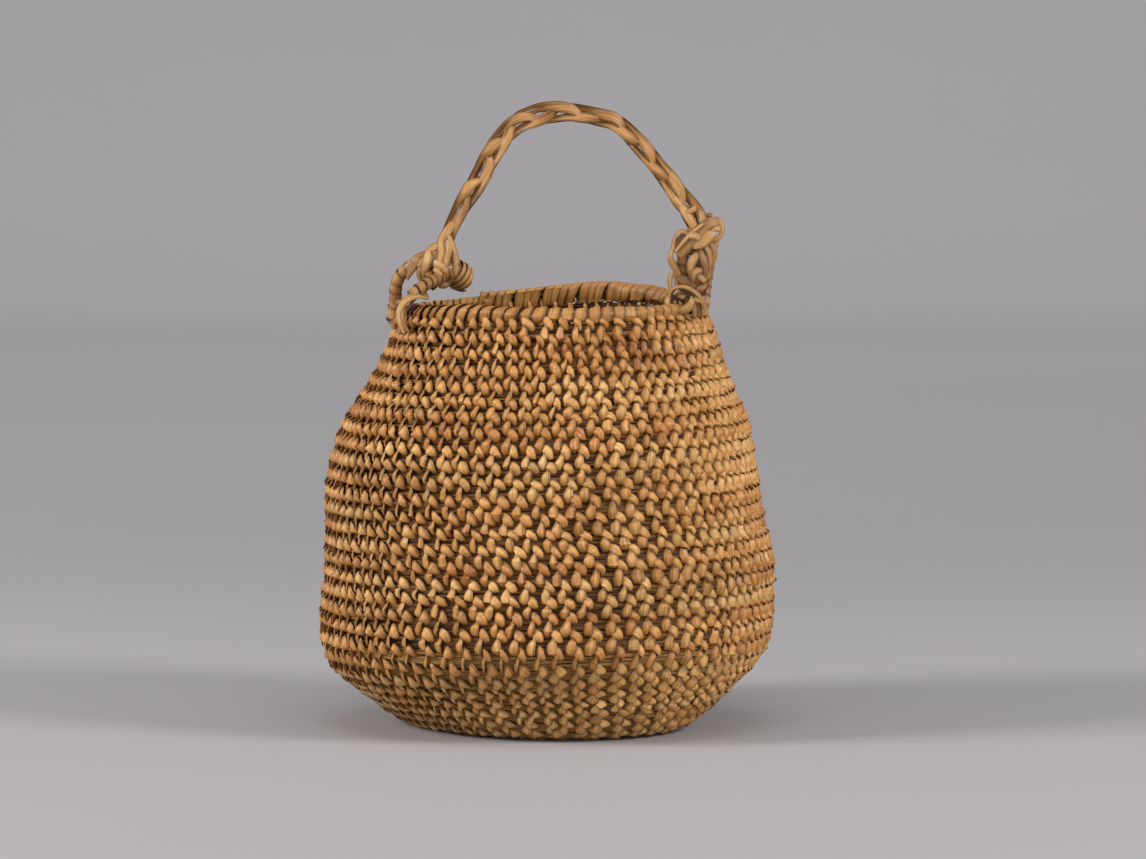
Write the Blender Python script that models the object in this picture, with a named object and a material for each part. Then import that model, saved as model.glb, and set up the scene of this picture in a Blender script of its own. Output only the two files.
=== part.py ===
"""Coiled basket with two wrapped ears and a plaited bail handle.

One bundle of stems winds out from the middle of the base, up the wall and ends as the
wrapped rim. Two bundle loops stand at the rim as ears, and a three-strand plait is
knotted round their upper bars, so that it swings. Metres, +Z up, +X to the right of
the viewer, +Y away, origin at the middle of the base on the surface it stands on.
"""

import math

import bmesh
import bpy
from mathutils import Vector

# Driving sizes of the coiled wall
MM = 0.001
BELLY_RADIUS = 80.2 * MM
WALL_HEIGHT = 153.5 * MM
COIL_PITCH = 6.0 * MM
CREST_OUT = 2.3 * MM
VALLEY_OUT = 1.0 * MM
CREST_IN = 2.1 * MM
VALLEY_IN = 1.1 * MM
START_RADIUS = 3.2 * MM
RIM_RADIUS = 2.9 * MM
SEAT_GAP = 0.3 * MM
WELD = 0.01 * MM
END_ANGLE_DEG = 114
STEPS_ROUND = 28
RIM_STEPS = 42
RIM_TAPER_DEG = 40
RIM_TAPER_SHARE = 0.4

# The coil's lengths from the base to the rim, and the share of its turns where each ends
COIL_LENGTHS = ("base_coil", "heel_coil", "belly_coil", "body_coil", "shoulder_coil")
COIL_END_SHARES = (0.23, 0.40, 0.60, 0.80, 1.00)

# The wall's outline, as shares of the belly radius and the wall height
OUTLINE_SHARES = (
    (0.605, 0.015),
    (0.667, 0.026),
    (0.729, 0.053),
    (0.800, 0.088),
    (0.877, 0.124),
    (0.945, 0.160),
    (0.988, 0.205),
    (1.000, 0.261),
    (0.995, 0.339),
    (0.988, 0.417),
    (0.968, 0.495),
    (0.953, 0.586),
    (0.920, 0.671),
    (0.878, 0.739),
    (0.813, 0.798),
    (0.764, 0.853),
    (0.721, 0.909),
    (0.685, 0.961),
    (0.667, 1.000),
    (0.660, 1.060),
)
# The wall leans a little: height share, sideways share of the belly radius
LEAN_SHARES = (
    (0.00, -0.026),
    (0.12, -0.018),
    (0.25, 0.006),
    (0.40, 0.020),
    (0.52, -0.006),
    (0.63, -0.010),
    (0.73, 0.006),
    (0.83, 0.026),
    (0.92, 0.038),
    (1.06, 0.034),
)
# The base is not round: angle, half width of the swell in degrees, share of the radius
BASE_SWELL_SHARES = ((-52, 38, 0.15), (-148, 34, -0.11))
SWELL_HEIGHT_SHARE = 0.17
# The front of the heel is pushed in under a ledge: angle, half width, height, half height, depth
DENT_SHARES = (
    (-97, 30, 0.135, 0.062, -0.050),
    (-92, 40, 0.225, 0.050, 0.017),
)
DEPTH_SHARE = 0.97
OUTLINE_STEPS = 14

# Ears: a bundle bent to a loop, with a strip wound round it
EAR_CORE_RADIUS = 1.15 * MM
EAR_GAP = 0.6 * MM
EAR_STRIP_THICKNESS = 0.5 * MM
EAR_STRIP_WIDTH = 1.9 * MM
EAR_TURN_PITCH = 5.2 * MM
EAR_BARE_END = 2.0 * MM
EAR_POINT_PITCH = 2.6 * MM
EAR_WRAP_STEPS = 9
EAR_RADIUS = EAR_CORE_RADIUS + EAR_GAP + EAR_STRIP_THICKNESS
EAR_CLEARANCE = 0.45 * MM
LEFT_BAR_HEIGHT = 20.5 * MM
LEFT_BAR_INSET = 11.5 * MM
BAR_HALF_LENGTH = 4.8 * MM
BAR_FRONT_LENGTH = 3.6 * MM
LEFT_BACK_DEG = 174
LEFT_FRONT_DEG = 203
# The left ear's bends, as shares of its bar's height: the rise to the bar, and from its end
RISE_SHARE = (-0.16, 0, 0.14)
BEND_SHARES = ((0.072, -0.030, -0.030), (0.095, -0.170, -0.185), (-0.020, -0.340, -0.350))
OVER_SHARE = (0.14, 0.10, 0.04)
# Its legs' heights over the wall's edge, as shares of the rim coil's height
FOOT_SHARE = -1.00
KNEE_SHARE = 0.33
SHOULDER_SHARE = 0.75
TOE_SHARE = -0.70
# Its front leg's lift over the rim and lean outward, as shares of its wound radius
LIFT_SHARE = 2.75
LEAN_OUT_SHARE = 0.70
RIGHT_BAR_HEIGHT = 23.0 * MM
RIGHT_EAR_WIDTH = 2 * (RIM_RADIUS + EAR_RADIUS + EAR_CLEARANCE)
# One half of the right ear: shares of its half width and of its height, from the foot up
RIGHT_ARCH_SHARES = (
    (1.00, -1.000),
    (1.00, -0.600),
    (1.00, -0.180),
    (0.78, -0.042),
    (0.40, 0.000),
)

# Handle: three flat strands plaited in a bow from one bar to the other
HANDLE_HEIGHT = 53.0 * MM
STRAND_WIDTH = 1.9 * MM
STRAND_THICKNESS = 1.1 * MM
STRAND_SWING = 1.95 * MM
STRAND_DEPTH = 1.3 * MM
STRAND_COUNT = 3
PLAIT_LENGTH = 52.0 * MM
PLAIT_STEPS = 14
PLAIT_CLEARANCE = 0.5 * MM
LEFT_FOOT_SHARE = 0.028
RIGHT_FOOT_SHARE = 1.000
HANDLE_SHARES = (
    (0.046, 0.190),
    (0.089, 0.335),
    (0.132, 0.470),
    (0.195, 0.670),
    (0.285, 0.890),
    (0.373, 0.968),
    (0.466, 0.998),
    (0.527, 0.998),
    (0.614, 0.965),
    (0.696, 0.920),
    (0.794, 0.740),
    (0.894, 0.510),
    (0.965, 0.330),
)

# Knots and tails
KNOT_CLEARANCE = 0.8 * MM
KNOT_THICKNESS = 2.2 * MM
KNOT_WIDTH = 1.8 * MM
KNOT_PITCH = 2.25 * MM
KNOT_STEPS = 12
LEFT_KNOT_TURNS = 1.5
RIGHT_KNOT_TURNS = 1.5
NECK_CLEARANCE = 0.4 * MM
NECK_THICKNESS = 0.9 * MM
NECK_WIDTH = 2.4 * MM
NECK_STEPS = 16
NECK_CLIMB_SHARE = 0.90
NECK_DEPTH_SHARE = 1.25
TAIL_COIL_RADIUS = 3.5 * MM
TAIL_WIDTH = 1.8 * MM
TAIL_THICKNESS = 1.1 * MM
TAIL_PITCH = 2.3 * MM
TAIL_TURNS = 2.7
TAIL_START_DEG = 145
TAIL_STEPS = 10
TAIL_SIDE_SHARE = 1.70
TAIL_DROP = 8.2 * MM
CURL_RADIUS = 3.7 * MM
CURL_WIDTH = 3.0 * MM
CURL_THICKNESS = 0.9 * MM
CURL_TURNS = 0.92
CURL_STEPS = 14
CURL_START_DEG = 108
CURL_ANGLE_DEG = -25
CURL_FACING_DEG = -62
PLAITED_TAIL_WIDTH = 3.4 * MM
PLAITED_TAIL_THICKNESS = 2.4 * MM
PLAITED_TAIL_LENGTH = 15.0 * MM
# Its line, as shares of its width and length, and how far its crossings draw it in
PLAITED_TAIL_SHARES = ((0.0, 0.0), (-0.1, -0.5), (0.1, -1.0))
PLAITED_TAIL_DRAW_SHARE = 0.25
PLAITED_TAIL_WAVES = 1.5

SECTION_FLAT_SHARE = 0.62
FULL_TURN = 2 * math.pi
PART_NAME = "woven_basket"


def clear_scene():
    """Remove every object that the file opens with."""
    for thing in list(bpy.data.objects):
        bpy.data.objects.remove(thing, do_unlink=True)


def make_collection(name):
    """Add a collection for the parts to the scene."""
    group = bpy.data.collections.new(name)
    bpy.context.scene.collection.children.link(group)
    return group


def straw(name, colour, roughness):
    """A dry plant-fibre material."""
    material = bpy.data.materials.new(name)
    material.use_nodes = True
    shader = material.node_tree.nodes["Principled BSDF"]
    shader.inputs["Base Color"].default_value = (*colour, 1)
    shader.inputs["Roughness"].default_value = roughness
    shader.inputs["Metallic"].default_value = 0
    return material


def smooth(table, at):
    """Value at a place in a table of (place, value) rows, by a cubic through its rows."""
    rows = list(table)
    if at <= rows[0][0]:
        return rows[0][1]
    if at >= rows[-1][0]:
        return rows[-1][1]
    index = max(i for i in range(len(rows) - 1) if rows[i][0] <= at)
    before = rows[max(index - 1, 0)]
    start, end = rows[index], rows[index + 1]
    after = rows[min(index + 2, len(rows) - 1)]
    span = end[0] - start[0]
    share = (at - start[0]) / span
    slope_in = (end[1] - before[1]) / (end[0] - before[0]) * span
    slope_out = (after[1] - start[1]) / (after[0] - start[0]) * span
    square, cube = share**2, share**3
    return (
        (2 * cube - 3 * square + 1) * start[1]
        + (cube - 2 * square + share) * slope_in
        + (3 * square - 2 * cube) * end[1]
        + (cube - square) * slope_out
    )


def curve_through(points, spacing):
    """Evenly spaced points along a Catmull-Rom curve through some points."""
    dense = []
    for i in range(len(points) - 1):
        before = points[max(i - 1, 0)]
        start, end = points[i], points[i + 1]
        after = points[min(i + 2, len(points) - 1)]
        for step in range(OUTLINE_STEPS):
            share = step / OUTLINE_STEPS
            square, cube = share**2, share**3
            dense.append(
                start * (1.5 * cube - 2.5 * square + 1)
                + end * (2 * square - 1.5 * cube + 0.5 * share)
                + before * (square - 0.5 * cube - 0.5 * share)
                + after * (0.5 * cube - 0.5 * square)
            )
    dense.append(points[-1].copy())
    lengths = [0.0]
    for i in range(1, len(dense)):
        lengths.append(lengths[-1] + (dense[i] - dense[i - 1]).length)
    count = max(2, round(lengths[-1] / spacing))
    even, index = [], 0
    for step in range(count + 1):
        target = lengths[-1] * step / count
        while index < len(dense) - 2 and lengths[index + 1] < target:
            index += 1
        span = lengths[index + 1] - lengths[index]
        even.append(dense[index].lerp(dense[index + 1], (target - lengths[index]) / span))
    return even


class Outline:
    """The wall's half outline, read by length along it from the middle of the base."""

    def __init__(self):
        foot = Vector((OUTLINE_SHARES[0][0] * BELLY_RADIUS, 0, CREST_OUT))
        stations = [foot] + [
            Vector((radius * BELLY_RADIUS, 0, height * WALL_HEIGHT))
            for radius, height in OUTLINE_SHARES[1:]
        ]
        self.points = [Vector((0, 0, CREST_OUT))] + curve_through(stations, COIL_PITCH / 6)
        self.lengths = [0.0]
        for i in range(1, len(self.points)):
            step = (self.points[i] - self.points[i - 1]).length
            self.lengths.append(self.lengths[-1] + step)

    def at(self, length):
        """Radius and height at a length along the outline."""
        low, high = 0, len(self.lengths) - 2
        while low < high:
            middle = (low + high + 1) // 2
            if self.lengths[middle] <= length:
                low = middle
            else:
                high = middle - 1
        span = self.lengths[low + 1] - self.lengths[low]
        point = self.points[low].lerp(self.points[low + 1], (length - self.lengths[low]) / span)
        return point.x, point.z

    def length_at_height(self, height):
        """Length along the outline where the wall first reaches a height."""
        for i in range(1, len(self.points)):
            if self.points[i].z >= height:
                rise = self.points[i].z - self.points[i - 1].z
                share = (height - self.points[i - 1].z) / rise
                return self.lengths[i - 1] + share * (self.lengths[i] - self.lengths[i - 1])
        return self.lengths[-1]


OUTLINE = Outline()
EDGE_HEIGHT = WALL_HEIGHT - COIL_PITCH
EDGE_LENGTH = OUTLINE.length_at_height(EDGE_HEIGHT)
WALL_TURNS = round((EDGE_LENGTH - START_RADIUS) / COIL_PITCH)
SEAMS = len(COIL_LENGTHS) - 1
PITCH = (EDGE_LENGTH - START_RADIUS - SEAMS * SEAT_GAP) / WALL_TURNS
END_ANGLE = math.radians(END_ANGLE_DEG)


def seam_angle(seams):
    """Angle where a length of the coil starts, past the seams before it."""
    return END_ANGLE + seams * SEAT_GAP / (BELLY_RADIUS / 2)


RIM_START = seam_angle(SEAMS + 1)


def bump(distance_deg, half_width_deg):
    """A smooth hump round an angle, 1 in its middle."""
    nearest = (distance_deg + 180) % 360 - 180
    return math.exp(-((nearest / half_width_deg) ** 2))


def wall_point(length, angle):
    """Point on the middle of the wall at a length along the outline and an angle."""
    radius, height = OUTLINE.at(length)
    share = height / WALL_HEIGHT
    degrees = math.degrees(angle)
    low = max(0.0, 1 - share / SWELL_HEIGHT_SHARE)
    low = low * low * (3 - 2 * low)
    for centre, half_width, swell in BASE_SWELL_SHARES:
        radius *= 1 + swell * low * bump(degrees - centre, half_width)
    for centre, half_width, at, half_height, depth in DENT_SHARES:
        fade = math.exp(-(((share - at) / half_height) ** 2))
        radius += depth * BELLY_RADIUS * fade * bump(degrees - centre, half_width)
    lean = smooth(LEAN_SHARES, share) * BELLY_RADIUS * min(1, length / EDGE_LENGTH * 4)
    return Vector(
        (lean + radius * math.cos(angle), DEPTH_SHARE * radius * math.sin(angle), height)
    )


def wall_normal(length, angle):
    """Outward direction of the wall's surface."""
    nudge = PITCH / 20
    turn = 1 / STEPS_ROUND
    along = wall_point(length + nudge, angle) - wall_point(max(0, length - nudge), angle)
    around = wall_point(length, angle + turn) - wall_point(length, angle - turn)
    return around.cross(along).normalized()


def beside_wall(length, angle, outward):
    """Point at a distance outward from the middle of the wall."""
    return wall_point(length, angle) + wall_normal(length, angle) * outward


def coil_section(turns):
    """Wall section of some turns of the coil, as (outward depth, length along) points."""
    outer, inner = [(VALLEY_OUT, 0)], [(-VALLEY_IN, 0)]
    for turn in range(turns):
        base = turn * PITCH
        outer += [(CREST_OUT, base + PITCH / 4), (CREST_OUT, base + PITCH * 3 / 4)]
        outer.append((VALLEY_OUT, base + PITCH))
        inner += [(-CREST_IN, base + PITCH / 2), (-VALLEY_IN, base + PITCH)]
    return outer + inner[::-1]


def add_mesh(name, bm, material, group, sharp_deg=40):
    """Turn a bmesh into a shaded object."""
    bmesh.ops.recalc_face_normals(bm, faces=bm.faces)
    if bm.calc_volume(signed=True) < 0:
        bmesh.ops.reverse_faces(bm, faces=bm.faces)
    mesh = bpy.data.meshes.new(name)
    bm.to_mesh(mesh)
    bm.free()
    mesh.shade_smooth()
    mesh.set_sharp_from_angle(angle=math.radians(sharp_deg))
    thing = bpy.data.objects.new(name, mesh)
    thing.data.materials.append(material)
    group.objects.link(thing)
    return thing


def coil_wall(name, seams, first_turn, turns, material, group):
    """Some turns of the sewn coil: its section spun in a helix, then bent onto the wall.

    The helix is spun round a straight drum, where each turn's lower edge welds to the
    upper edge of the turn before, and the drum is then mapped onto the basket.
    """
    drum = BELLY_RADIUS
    start_length = START_RADIUS + first_turn * PITCH + seams * SEAT_GAP
    start_angle = seam_angle(seams)
    bm = bmesh.new()
    ring = [bm.verts.new((drum + depth, 0, along)) for depth, along in coil_section(turns)]
    edges = [bm.edges.new((ring[i - 1], ring[i])) for i in range(len(ring))]
    bmesh.ops.spin(
        bm,
        geom=ring + edges,
        cent=(0, 0, 0),
        axis=(0, 0, 1),
        dvec=(0, 0, PITCH / STEPS_ROUND),
        angle=FULL_TURN,
        steps=STEPS_ROUND,
    )
    bmesh.ops.remove_doubles(bm, verts=bm.verts, dist=WELD)
    open_edges = [edge for edge in bm.edges if edge.is_boundary]
    bmesh.ops.holes_fill(bm, edges=open_edges, sides=0)
    for vert in bm.verts:
        flat = Vector((vert.co.x, vert.co.y, 0))
        around = math.atan2(flat.y, flat.x) % FULL_TURN
        at = start_length + vert.co.z
        angle = start_angle + around
        vert.co = beside_wall(at, angle, flat.length - drum)
    return add_mesh(name, bm, material, group)


def start_knot(material, group):
    """The gathered tip of the bundle: a flat comma that fills the coil's first turn."""
    outline = bpy.data.curves.new("start_knot", "CURVE")
    outline.dimensions = "2D"
    outline.fill_mode = "BOTH"
    half = (CREST_OUT + CREST_IN) / 2
    edge = half / 4
    outline.extrude = half - edge
    outline.bevel_depth = edge
    outline.bevel_resolution = 0
    spline = outline.splines.new("POLY")
    spline.use_cyclic_u = True
    inset = SEAT_GAP + edge
    step = inset / (START_RADIUS + PITCH - inset)
    turns = [i / STEPS_ROUND * (1 - step / FULL_TURN) for i in range(STEPS_ROUND + 1)]
    places = [(START_RADIUS + turn * PITCH - inset, turn * FULL_TURN) for turn in turns]
    places.append((START_RADIUS - inset, -inset / (START_RADIUS - inset)))
    spline.points.add(len(places) - 1)
    for point, (reach, around) in zip(spline.points, places):
        place = wall_point(reach, END_ANGLE + around)
        point.co = (place.x, place.y, 0, 1)
    comma = bpy.data.objects.new("start_knot", outline)
    comma.location = (0, 0, half)
    outline.materials.append(material)
    group.objects.link(comma)
    return comma


def tube(name, points, radius, material, group, scales=None):
    """A round tube through points, as a curve with a bevel."""
    curve = bpy.data.curves.new(name, "CURVE")
    curve.dimensions = "3D"
    curve.bevel_depth = radius
    curve.bevel_resolution = 2
    curve.use_fill_caps = True
    spline = curve.splines.new("POLY")
    spline.points.add(len(points) - 1)
    spline.use_smooth = True
    for i, (target, place) in enumerate(zip(spline.points, points)):
        target.co = (*place, 1)
        target.radius = scales[i] if scales else 1
    curve.materials.append(material)
    thing = bpy.data.objects.new(name, curve)
    group.objects.link(thing)
    return thing


def wall_top(turn):
    """Length along the outline of the wall's upper edge, some part of a turn past its start."""
    return EDGE_LENGTH + turn * PITCH


def rim_place(turn, radius):
    """Centre of the rim coil at part of a turn past the place where it starts."""
    angle = RIM_START + turn * FULL_TURN
    return wall_point(wall_top(turn) + SEAT_GAP + radius, angle)


def rim_coil(material, group):
    """The last turn of the bundle, wrapped all round, tapering out over its own start."""
    lap = (RIM_START - END_ANGLE) / FULL_TURN
    points, scales = [], []
    taper = RIM_TAPER_DEG / 360
    for i in range(RIM_STEPS + 1):
        turn = (1 - lap) * i / RIM_STEPS
        past = max(0.0, turn - (1 - taper)) / taper
        scale = 1 - (1 - RIM_TAPER_SHARE) * past
        scales.append(scale)
        points.append(rim_place(turn, RIM_RADIUS * scale))
    return tube("rim_coil", points, RIM_RADIUS, material, group, scales)


LEAF = (
    (-1, 0),
    (-SECTION_FLAT_SHARE, -1),
    (SECTION_FLAT_SHARE, -1),
    (1, 0),
    (SECTION_FLAT_SHARE, 1),
    (-SECTION_FLAT_SHARE, 1),
)
TAPE = ((-1, -1), (1, -1), (1, 1), (-1, 1))


def frames(points, up):
    """Tangent and two cross directions at each point, carried along without twist."""
    rows = []
    side = None
    for i, here in enumerate(points):
        before = points[max(i - 1, 0)]
        after = points[min(i + 1, len(points) - 1)]
        tangent = (after - before).normalized()
        if side is None:
            side = tangent.cross(up).normalized()
        side = (side - tangent * side.dot(tangent)).normalized()
        rows.append((tangent, side, side.cross(tangent)))
    return rows


def strip(name, points, faces, width, thickness, material, group, ends=None, shape=LEAF):
    """A flat strip swept through points, its flat side facing given directions.

    The section is extruded edge by edge along the route. The scales in ends narrow it.
    """
    bm = bmesh.new()
    rings = []
    for i, here in enumerate(points):
        before = points[max(i - 1, 0)]
        after = points[min(i + 1, len(points) - 1)]
        tangent = (after - before).normalized()
        face = (faces[i] - tangent * faces[i].dot(tangent)).normalized()
        side = tangent.cross(face)
        scale = ends[i] if ends else 1
        across, through = side * width / 2 * scale, face * thickness / 2
        rings.append([here + across * u + through * v for u, v in shape])
    loop = [bm.verts.new(place) for place in rings[0]]
    edges = [bm.edges.new((loop[i - 1], loop[i])) for i in range(len(loop))]
    bmesh.ops.contextual_create(bm, geom=edges)
    for ring in rings[1:]:
        grown = bmesh.ops.extrude_edge_only(bm, edges=edges)["geom"]
        moved = [item for item in grown if isinstance(item, bmesh.types.BMVert)]
        edges = [item for item in grown if isinstance(item, bmesh.types.BMEdge)]
        edges = [edge for edge in edges if all(vert in moved for vert in edge.verts)]
        for vert in moved:
            index = min(range(len(loop)), key=lambda k: (loop[k].co - vert.co).length)
            vert.index = index
        ordered = sorted(moved, key=lambda vert: vert.index)
        for vert, place in zip(ordered, ring):
            vert.co = place
        loop = ordered
    bmesh.ops.contextual_create(bm, geom=edges)
    return add_mesh(name, bm, material, group, sharp_deg=60)


def wound(points, radius, pitch, bare, steps):
    """Route and facing of a strip wound round a bar, in a helix that follows the bar."""
    lengths = [0.0]
    for i in range(1, len(points)):
        lengths.append(lengths[-1] + (points[i] - points[i - 1]).length)
    rows = frames(points, Vector((0, 1, 0.2)))
    turns = (lengths[-1] - 2 * bare) / pitch
    count = round(turns * steps)
    route, facing = [], []
    for k in range(count + 1):
        at = bare + (lengths[-1] - 2 * bare) * k / count
        i = max(j for j in range(len(points) - 1) if lengths[j] <= at)
        share = (at - lengths[i]) / (lengths[i + 1] - lengths[i])
        centre = points[i].lerp(points[i + 1], share)
        side = rows[i][1].lerp(rows[i + 1][1], share).normalized()
        third = rows[i][2].lerp(rows[i + 1][2], share).normalized()
        angle = FULL_TURN * turns * k / count
        out = side * math.cos(angle) + third * math.sin(angle)
        route.append(centre + out * radius)
        facing.append(out)
    return route, facing


def report_gap(name, route, steps, width):
    """Print the least gap between the turns of a winding, measured on its points."""
    apart = [
        (route[i] - route[j]).length
        for i in range(len(route))
        for j in range(i + steps * 3 // 4, len(route))
    ]
    print(name, "least gap to itself", round((min(apart) - width) / MM, 2), "mm")


def wrap_strip(name, points, material, group):
    """The strip wound round an ear's bundle from foot to foot."""
    radius = EAR_CORE_RADIUS + EAR_GAP + EAR_STRIP_THICKNESS / 2
    route, facing = wound(points, radius, EAR_TURN_PITCH, EAR_BARE_END, EAR_WRAP_STEPS)
    report_gap(name, route, EAR_WRAP_STEPS, EAR_STRIP_WIDTH)
    size = (EAR_STRIP_WIDTH, EAR_STRIP_THICKNESS)
    return strip(name, route, facing, *size, material, group, shape=TAPE)


def rim_turn_at(angle_deg):
    """Part of a turn past the rim's start at an angle."""
    return ((math.radians(angle_deg) - RIM_START) / FULL_TURN) % 1


def left_ear_route():
    """Centre line of the left ear: two feet outside the wall and a bar that points inward."""
    outward = CREST_OUT + EAR_CLEARANCE + EAR_RADIUS
    edge = RIM_RADIUS * 2 + SEAT_GAP
    back_top = wall_top(rim_turn_at(LEFT_BACK_DEG))
    front_top = wall_top(rim_turn_at(LEFT_FRONT_DEG))
    back = math.radians(LEFT_BACK_DEG)
    front = math.radians(LEFT_FRONT_DEG)
    reach = LEFT_BAR_HEIGHT
    bar_start = LEFT_PIVOT - AXIS * BAR_HALF_LENGTH
    bar_end = LEFT_PIVOT + AXIS * BAR_FRONT_LENGTH
    bend = [bar_end + Vector(share) * reach for share in BEND_SHARES]
    foot = beside_wall(back_top + edge * FOOT_SHARE, back, outward)
    knee = beside_wall(back_top + edge * KNEE_SHARE, back, outward + RIM_RADIUS - CREST_OUT)
    over = beside_wall(front_top + edge + EAR_RADIUS * LIFT_SHARE, front, EAR_RADIUS)
    lean = outward + EAR_RADIUS * LEAN_OUT_SHARE
    shoulder = beside_wall(front_top + edge * SHOULDER_SHARE, front, lean)
    toe = beside_wall(front_top + edge * TOE_SHARE, front, outward + EAR_CLEARANCE)
    return [
        foot,
        knee,
        (knee + bar_start) / 2 + Vector(RISE_SHARE) * reach,
        bar_start,
        LEFT_PIVOT.copy(),
        bar_end,
        *bend,
        over + Vector(OVER_SHARE) * reach,
        shoulder,
        toe,
    ]


def right_ear_route():
    """Centre line of the right ear: an arch that straddles the rim, one leg on each side."""
    half = RIGHT_EAR_WIDTH / 2
    height = RIGHT_BAR_HEIGHT + RIM_RADIUS
    inner = [Vector((-half * u, 0, height * v)) for u, v in RIGHT_ARCH_SHARES]
    outer = [Vector((half * u, 0, height * v)) for u, v in reversed(RIGHT_ARCH_SHARES)]
    return [RIGHT_PIVOT + place for place in inner + outer]


def left_pivot():
    """Middle of the left ear's bar, which the left knot turns on."""
    rim = rim_place(rim_turn_at(180), RIM_RADIUS)
    return rim + Vector((LEFT_BAR_INSET, 0, LEFT_BAR_HEIGHT))


def right_pivot():
    """Middle of the right ear's bar, above the rim coil that the ear straddles."""
    rim = rim_place(rim_turn_at(0), RIM_RADIUS)
    return rim + Vector((0, 0, RIGHT_BAR_HEIGHT))


LEFT_PIVOT = left_pivot()
RIGHT_PIVOT = right_pivot()
AXIS = (RIGHT_PIVOT - LEFT_PIVOT).normalized()
KNOT_RADIUS = EAR_RADIUS + KNOT_CLEARANCE + KNOT_THICKNESS / 2
KNOT_OUTER = KNOT_RADIUS + KNOT_THICKNESS / 2


def handle_line():
    """Centre line of the plait, from knot to knot."""
    span = RIGHT_PIVOT.x - LEFT_PIVOT.x
    bow = [
        Vector((LEFT_PIVOT.x + span * u, LEFT_PIVOT.y, LEFT_PIVOT.z + HANDLE_HEIGHT * v))
        for u, v in HANDLE_SHARES
    ]
    left, right = LEFT_PIVOT.copy(), LEFT_PIVOT.copy()
    left += Vector((span * LEFT_FOOT_SHARE, 0, KNOT_OUTER + PLAIT_CLEARANCE))
    right += Vector((span * RIGHT_FOOT_SHARE, 0, 0))
    right.z = RIGHT_PIVOT.z + KNOT_OUTER + PLAIT_CLEARANCE + STRAND_WIDTH / 4
    return [left, *bow, right]


def plait_strand(name, number, material, group):
    """One of the handle's three strands, crossing over and under the other two."""
    line = curve_through(handle_line(), PLAIT_LENGTH / PLAIT_STEPS)
    rows = frames(line, Vector((0, 1, 0)))
    spacing = (line[1] - line[0]).length
    places, facing = [], []
    for i, (centre, (_, side, front)) in enumerate(zip(line, rows)):
        phase = FULL_TURN * (i * spacing / PLAIT_LENGTH + number / STRAND_COUNT)
        swing = side * STRAND_SWING * math.sin(phase)
        depth = front * STRAND_DEPTH * math.sin(2 * phase)
        places.append(centre + swing + depth)
        facing.append(front)
    return strip(name, places, facing, STRAND_WIDTH, STRAND_THICKNESS, material, group)


def knot(name, pivot, turns, material, group):
    """Turns of a thick strand round an ear's bar, free to swing on it."""
    count = round(turns * KNOT_STEPS)
    up = Vector((0, 0, 1))
    front = AXIS.cross(up).normalized()
    top = front.cross(AXIS)
    route, facing = [], []
    for i in range(count + 1):
        turn = turns * i / count
        out = top * math.cos(FULL_TURN * turn) - front * math.sin(FULL_TURN * turn)
        route.append(pivot + AXIS * KNOT_PITCH * (turn - turns / 2) + out * KNOT_RADIUS)
        facing.append(out)
    report_gap(name, route, KNOT_STEPS, KNOT_WIDTH)
    return strip(name, route, facing, KNOT_WIDTH, KNOT_THICKNESS, material, group)


def left_tail_coil(material, group):
    """The left end of the plait, rolled up in a small coil that hangs beside the knot."""
    start = handle_line()[0]
    bend = BEND_SHARES[1][0] * LEFT_BAR_HEIGHT
    beside_ear = BAR_FRONT_LENGTH + bend + EAR_RADIUS * TAIL_SIDE_SHARE + EAR_CLEARANCE
    outer_reach = TAIL_COIL_RADIUS + TAIL_THICKNESS / 2
    centre = LEFT_PIVOT + Vector((beside_ear + outer_reach, 0, -TAIL_DROP))
    count = round(TAIL_TURNS * TAIL_STEPS)
    reach = STRAND_SWING + (STRAND_WIDTH + TAIL_THICKNESS) / 2 + PLAIT_CLEARANCE
    lead = start + Vector((reach, 0, 0))
    route, facing = [], []
    depth = TAIL_PITCH * TAIL_TURNS / 2
    route.append(lead + Vector((0, -depth / 2, STRAND_WIDTH)))
    facing.append(Vector((1, 0, 0)))
    for i in range(count + 1):
        angle = math.radians(TAIL_START_DEG) + FULL_TURN * TAIL_TURNS * i / count
        out = Vector((math.cos(angle), 0, math.sin(angle)))
        shift = Vector((0, -depth + TAIL_PITCH * TAIL_TURNS * i / count, 0))
        route.append(centre + shift + out * TAIL_COIL_RADIUS)
        facing.append(out)
    report_gap("left_tail_coil", route[1:], TAIL_STEPS, TAIL_WIDTH)
    return strip("left_tail_coil", route, facing, TAIL_WIDTH, TAIL_THICKNESS, material, group)


def right_neck_wrap(material, group):
    """The strand end that ties the plait's right end together just above the knot."""
    line = curve_through(handle_line(), PLAIT_LENGTH / PLAIT_STEPS)
    rows = frames(line, Vector((0, 1, 0)))
    centre = line[-2]
    tangent, side, front = rows[-2]
    reach = STRAND_SWING + STRAND_WIDTH / 2 + NECK_CLEARANCE + NECK_THICKNESS / 2
    depth = STRAND_DEPTH + STRAND_THICKNESS / 2 + NECK_CLEARANCE + NECK_THICKNESS / 2
    depth *= NECK_DEPTH_SHARE
    route, facing = [], []
    for i in range(NECK_STEPS):
        share = i / NECK_STEPS
        angle = FULL_TURN * share
        out = side * math.cos(angle) + front * math.sin(angle)
        offset = side * reach * math.cos(angle) + front * depth * math.sin(angle)
        climb = tangent * NECK_WIDTH * NECK_CLIMB_SHARE * (share - 1 / 2)
        route.append(centre + offset + climb)
        facing.append(out)
    return strip("right_neck_wrap", route, facing, NECK_WIDTH, NECK_THICKNESS, material, group)


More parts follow.
